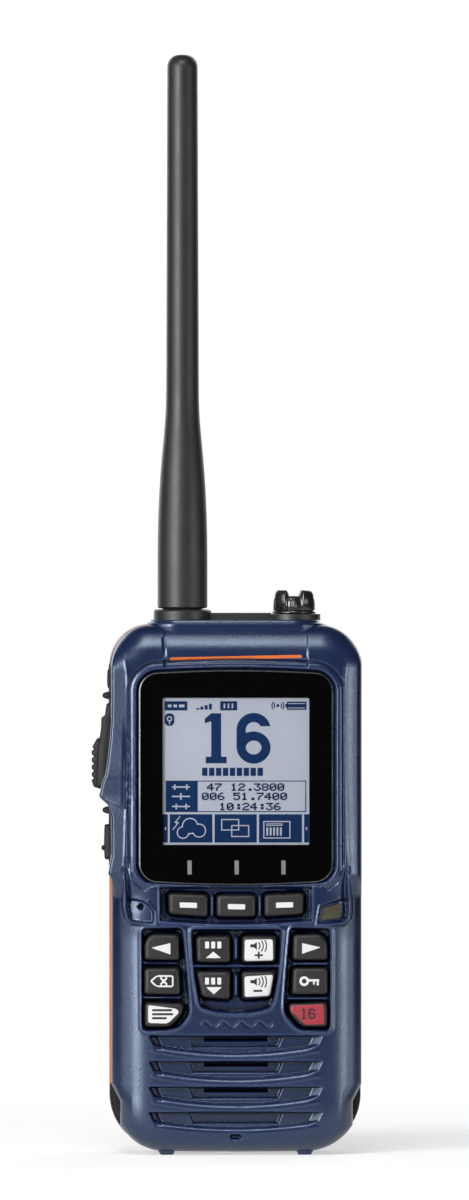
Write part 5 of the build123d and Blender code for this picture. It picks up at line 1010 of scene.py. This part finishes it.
def digits_16(x, z, left, low, high, half):
    """The number 16: a stem with a flag and a foot, and a ring with a hook over it."""
    tall = high - low
    mid = (low + high) / 2
    one_x = left + 0.20 * tall
    flag_x = one_x - half - 0.13 * tall
    flag = (
        (one_x - half, high), (flag_x, high - 0.11 * tall), (flag_x, high - 0.2 * tall),
        (one_x - half, high - 0.16 * tall), (one_x + half, high),
    )
    stem = rounded_box(x - one_x, z - mid, half, tall / 2, 0.0)
    foot = rounded_box(x - one_x, z - low - 0.065 * tall, 0.21 * tall, 0.065 * tall, 0.0)
    wide = 0.35 * tall
    six_x = left + 0.60 * tall + wide

    def loop(mid_z, half_z):
        """An upright ring of the line's width round the six's middle."""
        reach = wide - half
        return np.abs(rounded_box(x - six_x, z - mid_z, reach, half_z - 0.85 * half, reach)) - half * 0.92

    bowl = loop(low + 0.315 * tall, 0.315 * tall)
    hook = loop(mid, tall / 2)
    hidden = (x > six_x) & (z < high - 0.245 * tall)
    return union(stem, facets(x, z, flag, 0.0), foot, bowl, np.where(hidden, 0.6 * half, hook))


INK = key_rubber, 0.035
for key, mid in (("volume_up_key", 55.0), ("volume_down_key", 45.6)):
    shape = lambda x, z, mid=mid: loudspeaker(x, z, 3.7, mid)
    mark(key + "_speaker", key, shape, (3.4, mid - 1.5, 8.6, mid + 1.5), *INK)
plus = blocks(((5.95, 52.55, 1.1, 0.24, 0.05), (5.95, 52.55, 0.24, 0.95, 0.05)))
minus = blocks(((5.7, 43.2, 1.15, 0.27, 0.05),))
MENU_LINES = ((-19.4, 38.15, 2.6), (-19.25, 37.1, 2.75), (-20.1, 36.05, 1.9))
lines = blocks([(*line, 0.28, 0.1) for line in MENU_LINES])
mark("volume_up_plus", "volume_up_key", plus, (4.6, 51.4, 7.3, 53.7), *INK)
mark("volume_down_minus", "volume_down_key", minus, (4.3, 42.6, 7.1, 43.8), *INK)
mark("clear_sign", "clear_key", clear_sign, (-22.8, 43.9, -16.1, 47.6))
mark("lock_sign", "lock_key", lock_sign, (16.3, 44.2, 22.2, 47.3))
mark("menu_lines", "menu_key", lines, (-22.3, 35.5, -16.2, 38.7), *INK)
number = lambda x, z: digits_16(x, z, 17.2, 35.8, 38.6, 0.24)
mark("red_key_number", "red_key", number, (16.8, 35.5, 21.6, 38.9), *INK)


# ================================================================ left side
SIDE_F, SIDE_KEY_F = 6.4, 6.3
TALK_Z, TALK_HALF_Z = 107.15, 11.45
PIP_HALF_F, PIP_R = 2.25, 1.0
WALL_BOTTOM = 32.75
# the paddle's face: heights, and the reach there
TALK_Z_STEPS = (95.7, 97.0, 106.0, 111.0, 112.0, 114.5, 115.2, 118.6)
TALK_REACH = (36.3, 36.5, 36.2, 35.4, 35.3, 35.2, 34.3, 33.8)
# middle z, half height, reach, and the height of the bar on it
SIDE_KEYS = {
    "upper_side_key": (124.8, 2.7, 33.7, None),
    "lower_side_key": (81.95, 4.75, 34.5, 80.4),
}


def pip(f, z, middle_z, base, tip):
    """A rounded bar across the side at a height: base outside it, and up to tip over a round rim."""
    near = rounded_box(f - SIDE_F, z - middle_z, PIP_HALF_F, PIP_R, PIP_R)
    return np.where(near < 0, np.maximum(base, tip - quarter(-near, 0.8, tip - 32.8)), base)


def talk_near(f, z, gap=0.0):
    """Distance to the talk button's outline, grown by a gap."""
    return rounded_box(f - SIDE_F, z - TALK_Z, 3.2 + gap, TALK_HALF_Z + gap, 1.2)


def side_key_near(f, z, key, gap=0.0):
    """Distance to a side key's outline, grown by a gap."""
    middle, half, _, _ = SIDE_KEYS[key]
    return rounded_box(f - SIDE_KEY_F, z - middle, 2.7 + gap, half + gap, 1.0)


def side_panel_near(f, z):
    """Distance to the rubber side panel: its plate less the openings for the button and the keys."""
    plate = rounded_box(f - SIDE_F, z - 102.25, 4.15, 26.7, 1.2)
    holes = union(talk_near(f, z, 0.25), *(side_key_near(f, z, key, 0.25) for key in SIDE_KEYS))
    return np.maximum(plate, -holes)


def side_panel_reach(f, z):
    """The panel's face: flat with a soft rim, and two rounded bars above and below the talk button."""
    reach = 33.25 - quarter(-side_panel_near(f, z), 0.5, 0.5)
    return pip(f, z, 90.3, pip(f, z, 120.4, reach, 34.9), 34.9)


def talk_reach(f, z):
    """The talk button: a paddle whose face rises in steps, with a narrower pad on it that has
    five grooves; both have a quarter-ellipse rim, and the paddle a wall down into the case."""
    near = talk_near(f, z)
    face = np.interp(z, TALK_Z_STEPS, TALK_REACH) - quarter(-near, 0.9, 0.9)
    pad = rounded_box(f - SIDE_F, z - 102.7, 2.55, 6.6, 1.0)
    top = np.interp(z, (96.0, 98.0, 106.5, 109.3), (37.1, 37.75, 37.75, 36.3)) - quarter(-pad, 0.6, 0.9)
    for k in range(5):
        top = top - 0.55 * hump(z - 102.5 - 1.9 * (k - 2), 0.62)
    face = np.where(pad < 0, np.maximum(face, top), face)
    return face - (face - WALL_BOTTOM) * step(-near, 0.24, 0.0)


def side_key_reach(key):
    """A side key's face as a function: a low crown, a rim and a wall, and a bar on the lower key."""
    middle, half, top, pip_z = SIDE_KEYS[key]

    def reach(f, z):
        """A parabola along z, less the rim's quarter ellipse, and straight down at the outline."""
        near = side_key_near(f, z, key)
        face = top - 0.15 * ((z - middle) / half) ** 2 - quarter(-near, 0.8, 0.6)
        if pip_z:
            face = pip(f, z, pip_z, face, 35.2)
        return face - (face - WALL_BOTTOM) * step(-near, 0.2, 0.0)

    return reach


def left_side():
    """The panel, the talk button and the two side keys, each a height field over (f, z)."""
    panel = patch(
        "side_rubber_panel", side_panel_near, (2.0, 75.2, 10.8, 129.3), side_panel_reach, side_rubber,
        pitch=0.16, put=place_left,
    )
    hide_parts("side_panel")
    talk = patch(
        "talk_button_pad", talk_near, (3.0, 95.5, 9.8, 118.8), talk_reach, side_rubber,
        "talk_button", put=place_left,
    )
    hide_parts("talk_button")
    for key, (middle, half, _, _) in SIDE_KEYS.items():
        near = lambda f, z, key=key: side_key_near(f, z, key)
        box = (3.4, middle - half - 0.2, 9.2, middle + half + 0.2)
        cap = patch(
            key + "_cap", near, box, side_key_reach(key), side_rubber, key, put=place_left,
        )
        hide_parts(key)


left_side()


# ================================================================ jack cap
def turned(mid, turn, section):
    """Rows of points round a vertical axis through mid, one for each (reach, height) of the section;
    both may change with the angle."""
    rows = []
    for reach, rise in section:
        x, y = mid[0] + reach * np.cos(turn), mid[1] + reach * np.sin(turn)
        rows.append(np.stack((x, y, np.broadcast_to(rise, turn.shape)), -1))
    return np.concatenate(rows)


def cap_knob():
    """The jack cap: a section (reach, height) carried round its axis, where four prongs, wide in
    their angle, raise the rim and push it out, and fine ribs stand between them."""
    low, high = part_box("jack_cap")
    mid = (low + high) / 2 / MM
    turn = np.linspace(0, 2 * np.pi, 241)[:-1]
    prong = step(np.cos(4 * (turn - np.pi / 4)), -0.25, 0.35)
    ribs = (1 - prong) * 0.30 * np.clip(np.cos(12 * turn), 0, 1) ** 2
    wall = 5.15 + 0.55 * prong + ribs
    rim = 146.5 + 1.55 * prong + 0.25 * ribs
    top = (
        (wall - 0.25, 142.6), (wall, 142.9), (wall, rim - 2.4), (wall - 0.05, rim - 1.5),
        (wall - 0.2, rim - 0.8), (wall - 0.5, rim - 0.25), (wall - 0.9, rim - 0.02), (wall - 1.3, rim),
        (wall - 1.75, rim - 0.1), (wall - 2.1, rim - 0.45), (wall - 2.3, np.minimum(rim - 1.2, 145.6)),
        (wall - 2.6, 145.0), (1.6, 144.8), (0.6, 144.85), (0.01, 144.9),
    )
    below = ((4.9, 142.75), (5.5, 142.7), (5.72, 142.5), (5.75, 142.1), (5.6, 141.9), (3.0, 141.8))
    points, faces = turned(mid, turn, top), grid_faces(len(top), len(turn), ring=True)
    knob = make_piece("jack_cap_knob", points, faces, knob_black, "jack_cap")
    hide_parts("jack_cap")
    points, faces = turned(mid, turn, below), grid_faces(len(below), len(turn), ring=True)
    make_piece("jack_cap_flange", points, faces[:, ::-1], knob_black, "jack_cap")


cap_knob()


# ================================================================ latch spring
def latch_coil():
    """The spring over the battery latch: a ring of the wire's radius carried along a helix of five
    turns, closed by a point at each end."""
    low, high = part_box("latch_spring")
    mid = (low + high) / 2 / MM
    wire, turns, travel = 0.25, 5, 3.0
    steps, sides = 201, 12
    coil = (high.x - low.x) / MM / 2 - wire
    along = np.linspace(0, 1, steps)[:, None]
    round_wire = np.linspace(0, 2 * np.pi, sides + 1)[:-1][None, :]
    turn = 2 * np.pi * turns * along
    reach = coil + wire * np.cos(round_wire)
    rise = low.z / MM + wire + ((high.z - low.z) / MM - 2 * wire) * along + wire * np.sin(round_wire)
    rings = np.stack((mid.x + reach * np.cos(turn), mid.y + reach * np.sin(turn), rise), -1)
    ends = rings[[0, -1]].mean(1)
    hub, last_ring = steps * sides, (steps - 1) * sides
    faces = grid_faces(steps, sides, ring=True).tolist()
    faces += fan(sides, hub) + fan(sides, hub + 1, last_ring, flip=True)
    points = np.concatenate((rings.reshape(-1, 3), ends))
    spring = make_piece("latch_coil", points, faces, steel, "battery")
    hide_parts("latch_spring")
    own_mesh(spring)


latch_coil()


# ================================================================ window and display
def rounded_loop(half_x, half_z, radius, bulge=0.0, count=25):
    """Points round a rounded rectangle about the origin, with its top and bottom edges bulged."""
    angle = np.radians(np.linspace(0, 90, count))
    parts = []
    for k, (sx, sz) in enumerate(((1, 1), (-1, 1), (-1, -1), (1, -1))):
        a = angle + k * np.pi / 2
        x, z = sx * (half_x - radius) + radius * np.cos(a), sz * (half_z - radius) + radius * np.sin(a)
        parts.append(np.stack((x, z), -1))
        if sx * sz > 0:
            x = np.linspace(sx, -sx, 14)[1:-1] * (half_x - radius)
            parts.append(np.stack((x, np.full(len(x), sz * half_z)), -1))
    loop = np.concatenate(parts)
    loop[:, 1] += np.sign(loop[:, 1]) * bulge * (1 - np.clip(np.abs(loop[:, 0]) / half_x, 0, 1) ** 2)
    return loop


def ring_between(name, outer, inner, outer_f, inner_f, finish, slot):
    """A ribbon between two loops of equal count."""
    loops = ((outer, outer_f), (inner, inner_f))
    points = np.concatenate([place(loop[:, 0], f, loop[:, 1]) for loop, f in loops])
    make_piece(name, points, grid_faces(2, len(outer), ring=True)[:, ::-1], finish)


VIEW_Z = 100.65
PRINT_F, TICKS_F, EDGE_F = 17.83, 17.86, (18.94, 19.03)
pane = rounded_loop(25.35, 27.1, 4.5, 1.0)
view = rounded_loop(19.2, 19.25, 0.5)
view[:, 1] += VIEW_Z - WINDOW_Z
for loop in (pane, view):
    loop[:, 1] += WINDOW_Z
ring_between("window_print_ring", pane * (0.995, 1), view, PRINT_F, PRINT_F, print_black, "film")
edge_out = rounded_loop(25.42, 27.17, 4.55, 1.0) + (0, WINDOW_Z)
edge_in = rounded_loop(25.10, 26.85, 4.25, 1.0) + (0, WINDOW_Z)
ring_between("window_edge_line", edge_out, edge_in, *EDGE_F, grey_edge, "window")


def bars(boxes, f):
    """Flat rectangles (x0, z0, x1, z1) at one depth, as points and quads."""
    boxes = np.asarray(boxes, float)
    x = boxes[:, (0, 2, 2, 0)]
    z = boxes[:, (1, 1, 3, 3)]
    return place(x, f, z), np.arange(len(boxes) * 4).reshape(-1, 4)


low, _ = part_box("display")
DISPLAY_F = SEAM_Y - low.y / MM
points, faces = bars([(-21.5, 77.0, 21.5, 124.0)], DISPLAY_F)
glass = make_piece("display_glass", points, faces, lcd_back)
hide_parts("display")

CELL = 1 / 3.8
# seven rows of five dots each, as the bits of a number
DIGITS = {
    "0": (14, 17, 19, 21, 25, 17, 14), "1": (4, 12, 4, 4, 4, 4, 14), "2": (14, 17, 1, 6, 8, 16, 31),
    "3": (31, 2, 4, 2, 1, 17, 14), "4": (2, 6, 10, 18, 31, 2, 2), "5": (31, 16, 30, 1, 1, 17, 14),
    "6": (6, 8, 16, 30, 17, 17, 14), "7": (31, 1, 2, 4, 8, 8, 8), "8": (14, 17, 17, 14, 17, 17, 14),
    "9": (14, 17, 17, 15, 1, 2, 12), ".": (0, 0, 0, 0, 0, 6, 6), ":": (0, 6, 6, 0, 6, 6, 0), " ": (0,) * 7,
}


def dot_digits(text, left, top, cell_x, cell_z):
    """Rectangles of a number in five by seven dots; each a little larger than its cell."""
    boxes = []
    for at, sign in enumerate(text):
        for row, bits in enumerate(DIGITS[sign]):
            high = top - row * cell_z
            for col in range(5):
                if bits >> (4 - col) & 1:
                    x = left + (at * 6 + col) * cell_x
                    boxes.append((x - 0.07, high - cell_z - 0.06, x + cell_x + 0.07, high + 0.06))
    return boxes


def spot(across, down):
    """A point in display units, 3.8 to the millimetre, as x and z: across from 236.7 on the case's
    middle, and down to 1152.5 at its base."""
    return (across - 236.7) * CELL, (1152.5 - down) * CELL


def unit_boxes(boxes):
    """Boxes (left, top, right, bottom) in display units as (x0, z0, x1, z1)."""
    return [(*spot(left, bottom), *spot(right, top)) for left, top, right, bottom in boxes]


def frame_boxes(left, top, right, bottom, line=1.1):
    """Four bars round a box in display units."""
    return [
        (left, top, right, top + line), (left, bottom - line, right, bottom),
        (left, top, left + line, bottom), (right - line, top, right, bottom),
    ]


DARK_BOXES = [
    (165.8, 700.2, 188.3, 709.4), (221, 700.2, 238, 709.4), (287.5, 700.6, 307, 708.8),
    (285.9, 702.8, 287.5, 706.4), (166.7, 779.3, 198.7, 810.6), (198.7, 779.3, 306.7, 780.2),
    (198.7, 809.7, 306.7, 810.6), (305.8, 780.2, 306.7, 809.7), (163.3, 812.8, 168.9, 841.0),
    (170.8, 812.8, 213.3, 841.0), (215.5, 812.8, 257.5, 841.0), (259.7, 812.8, 302.5, 841.0),
    (304.6, 812.8, 309.6, 841.0),
    *((193 + 4.2 * k, 708.6 - 1.5 * k, 196 + 4.2 * k, 708.6) for k in range(5)),
    *((203 + 6.9 * k, 766.5, 208.4 + 6.9 * k, 774.6) for k in range(9)),
]
PALE_BOXES = [
    (289.0, 702.2, 305.5, 702.9), (289.0, 706.6, 305.5, 707.3), (169.0, 703.5, 172.5, 706.2),
    (174.5, 703.5, 178.0, 706.2), (180.0, 703.5, 185.5, 706.2), (224.5, 702.6, 226.0, 707.2),
    (228.5, 702.6, 230.0, 707.2), (232.5, 702.6, 234.0, 707.2),
    *((173, down - 0.7, 191, down + 0.7) for down in (785.6, 795.0, 805.0)),
    (175, 783.0, 176.6, 788.4), (187, 783.0, 188.6, 788.4), (181, 791.8, 182.8, 798.2),
    (176.5, 802.4, 178, 807.8), (186.3, 802.4, 187.8, 807.8),
    *((267 + 3.4 * k, 826, 268.8 + 3.4 * k, 834) for k in range(5)),
    *frame_boxes(264, 819.5, 291, 837), *frame_boxes(267, 822, 283, 824.4, 0.8),
    *frame_boxes(222, 817.5, 240, 829), *frame_boxes(232, 823.5, 250, 835.5),
    (166.0, 825.5, 167.2, 828.5), (306.4, 825.5, 307.6, 828.5),
]
# figures, and their left and top in display units
FIGURES = (("47 12.3800", 208, 782.2), ("006 51.7400", 203, 791.4), ("10:24:36", 220, 801.6))
dark, pale = unit_boxes(DARK_BOXES), unit_boxes(PALE_BOXES)
for text, left, top in FIGURES:
    dark += dot_digits(text, *spot(left, top), 1.30 * CELL, 1.02 * CELL)
MARKS = (("display_dark_marks", dark, lcd_ink, 0.04), ("display_pale_marks", pale, lcd_back, 0.07))
for name, boxes, finish, lift in MARKS:
    points, faces = bars(boxes, DISPLAY_F + lift)
    make_piece(name, points, faces, finish)


def display_mark(name, near, box, finish=lcd_ink, lift=0.04, pitch=0.12):
    """A flat mark a little in front of the display."""
    patch(name, near, box, lambda x, z: DISPLAY_F + lift + 0 * x, finish, pitch=pitch)


base_x, base_z = spot(203.5, 762.0)
badge_x, badge_z = spot(170.6, 718.5)
signal_x, signal_z = spot(278.5, 704.6)


def big_number(x, z):
    """The number over the small figures."""
    return digits_16(x, z, base_x + 0.95, base_z, base_z + 13.1, 1.3)


def badge(x, z):
    """A plain upright oval."""
    return rounded_box(x - badge_x, z - badge_z, 1.25, 1.65, 1.1)


def badge_mark(x, z):
    """A ring on a short stem, in the oval."""
    stem = stroke(x, z, ((badge_x, badge_z - 0.3), (badge_x, badge_z - 1.1)), 0.14)
    return union(ring_stroke(x, z, (badge_x, badge_z + 0.2), 0.55, 0.14), stem)


def cloud(x, z):
    """The outline of three joined circles, with a bolt beside it."""
    puffs = []
    for across, down, radius in ((184, 831, 1.5), (191, 824.5, 2.0), (200, 829, 1.7)):
        mid_x, mid_z = spot(across, down)
        puffs.append(np.hypot(x - mid_x, z - mid_z) - radius)
    bolt = stroke(x, z, (spot(181, 815), spot(176, 821), spot(179.5, 821), spot(174, 828)), 0.13)
    return union(np.abs(union(*puffs)) - 0.15, bolt)


def signal(x, z):
    """A dot with two arcs on each side."""
    beside = np.abs(z - signal_z) - 0.8 * np.abs(x - signal_x)
    arcs = [np.maximum(ring_stroke(x, z, (signal_x, signal_z), r, 0.15), beside) for r in (0.95, 1.55)]
    return union(np.hypot(x - signal_x, z - signal_z) - 0.4, *arcs)


display_mark("display_number", big_number, (base_x, base_z - 0.5, base_x + 20, base_z + 13.6), pitch=0.2)
display_mark("display_badge", badge, (badge_x - 1.6, badge_z - 2, badge_x + 1.6, badge_z + 2))
box = (badge_x - 1, badge_z - 1.4, badge_x + 1, badge_z + 1)
display_mark("display_badge_mark", badge_mark, box, lcd_back, 0.07)
display_mark("display_cloud", cloud, (*spot(172, 839), *spot(210, 813)), lcd_back, 0.07, 0.14)
display_mark("display_signal", signal, (signal_x - 2, signal_z - 1.7, signal_x + 2, signal_z + 1.7))

ticks = [(at_x - 0.55, 73.65, at_x + 0.55, 77.3) for at_x in (-12.15, 0.2, 12.45)]
points, faces = bars(ticks, TICKS_F)
make_piece("window_ticks", points, faces, tick_grey)


def stripe(x, z):
    """A rounded line over the window."""
    return rounded_box(x, z - 130.45 - 0.02 * x, 17.3, 0.42, 0.4)


def stripe_level(x, z):
    """Just over the face."""
    return face_depth(x, z, case_inset(x, z)) + 0.03


box = (-18, 129.2, 18, 131.8)
patch("brow_stripe", stripe, box, stripe_level, orange_line, pitch=0.2)


# ================================================================ finishes on the CAD nodes
for node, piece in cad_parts.items():
    for k, held in enumerate(piece.material_slots):
        name = held.material.name.split(".")[0] if held.material else ""
        if name in SLOT_FINISH:
            held.link = "OBJECT"
            held.material = NODE_FINISH.get(node, SLOT_FINISH[name])
        else:
            print("slot without a finish:", node, name)


# ================================================================ stage, light and camera
def floor_finish():
    """Pale matt paint near the object, brightened for camera and mirror rays so that it looks white
    while it keeps the shadow, and fading to plain white towards its edge."""
    made = Finish("stage_white")
    white = (1, 1, 1)
    both = made.add("ShaderNodeAddShader")
    made.wire(made.plain("ShaderNodeBsdfDiffuse", (0.68, 0.68, 0.68)).outputs[0], both.inputs[0])
    made.wire(made.plain("ShaderNodeEmission", white, 0.52).outputs[0], both.inputs[1])
    edge = made.plain("ShaderNodeEmission", white)
    reach = made.add("ShaderNodeVectorMath", operation="LENGTH")
    made.wire(made.place, reach.inputs[0])
    fade = made.blend(made.ramp(reach.outputs["Value"], 0.14, 0.32), both.outputs[0], edge.outputs[0])
    dim = made.plain("ShaderNodeBsdfDiffuse", (0.25, 0.25, 0.25))
    return made.close(made.blend(made.seen_rays(), dim.outputs[0], fade))


def floor():
    """A round floor: a disc as rings about the origin."""
    turn = np.linspace(0, 2 * np.pi, 97)[:-1]
    radii = np.array([0.001, 0.12, 0.24, 0.34])[:, None]
    points = np.stack((radii * np.cos(turn), radii * np.sin(turn), 0 * radii * turn), -1).reshape(-1, 3)
    mesh = bpy.data.meshes.new("floor")
    mesh.from_pydata(points, [], grid_faces(4, 96, ring=True)[:, ::-1].tolist())
    mesh.materials.append(floor_finish())
    made = bpy.data.objects.new("floor", mesh)
    bpy.context.scene.collection.objects.link(made)


floor()


def lamp(name, azimuth, height, distance, size, radiance, aim_z):
    """A soft rectangular lamp that faces the axis at aim_z. Azimuth 0 is in front and 90 to the
    right; the power is radiance times pi times the lamp's area."""
    data = bpy.data.lights.new(name, "AREA")
    data.shape = "RECTANGLE"
    data.size, data.size_y = size
    data.energy = radiance * math.pi * size[0] * size[1]
    made = bpy.data.objects.new(name, data)
    bpy.context.scene.collection.objects.link(made)
    turn = math.radians(azimuth)
    made.location = (distance * math.sin(turn), -distance * math.cos(turn), height)
    way = Vector((0, 0, aim_z)) - made.location
    made.rotation_euler = way.to_track_quat("-Z", "Y").to_euler()
    made.visible_camera = False


# name, azimuth, height, distance, size, radiance and the height it faces
LAMPS = (
    ("left_box", -35, 0.27, 1.1, (0.26, 0.54), 20.5, 0.11),
    ("left_side_box", -57, 0.32, 1.1, (0.34, 0.64), 3.8, 0.11),
    ("right_box", 49, 0.06, 1.1, (0.18, 0.24), 12.5, 0.09),
    ("right_fill_box", 68, 0.06, 1.1, (0.25, 0.24), 3.5, 0.06),
    ("top_box", -10, 1.05, 0.80, (0.46, 0.44), 9.5, 0.11),
    ("back_box", 155, 0.60, 1.1, (0.80, 0.70), 2.6, 0.11),
    ("back_side_box", -145, 0.45, 1.2, (0.50, 0.80), 2.0, 0.11),
)
for values in LAMPS:
    lamp(*values)


def studio():
    """White for the rays that show a background, where a mirror ray sees it only behind the object,
    and a faint cool light from all round for the others."""
    world = bpy.data.worlds.new("studio")
    bpy.context.scene.world = world
    world.use_nodes = True
    made = Nodes(world.node_tree)
    made.tree.nodes.clear()
    parts = made.add("ShaderNodeSeparateXYZ")
    made.wire(made.add("ShaderNodeTexCoord").outputs["Generated"], parts.inputs[0])
    behind = made.ramp(parts.outputs["Y"], 0.55, 0.95, kind="SMOOTHSTEP")
    light = made.plain("ShaderNodeBackground", (0.95, 0.97, 1.0), 0.05)
    white = made.plain("ShaderNodeBackground", (1, 1, 1), 1.0)
    shown = made.blend(made.seen_rays(behind), light.outputs[0], white.outputs[0])
    made.wire(shown, made.add("ShaderNodeOutputWorld").inputs["Surface"])


studio()

camera = bpy.data.cameras.new("camera")
camera.sensor_fit = "VERTICAL"
camera.sensor_height = 36.0
camera.lens = 456.0
eye = bpy.data.objects.new("camera", camera)
bpy.context.scene.collection.objects.link(eye)
AIM = np.array((0.00227, -0.00265, 0.1454))
AZIMUTH, ELEVATION, DISTANCE = math.radians(-0.8), math.radians(0.5), 4.0
level_share = math.cos(ELEVATION)
back = np.array((math.sin(AZIMUTH) * level_share, -math.cos(AZIMUTH) * level_share, math.sin(ELEVATION)))
eye.location = AIM + back * DISTANCE
eye.rotation_euler = Vector(-back).to_track_quat("-Z", "Y").to_euler()
bpy.context.scene.camera = eye

bpy.context.scene.view_settings.view_transform = "Standard"
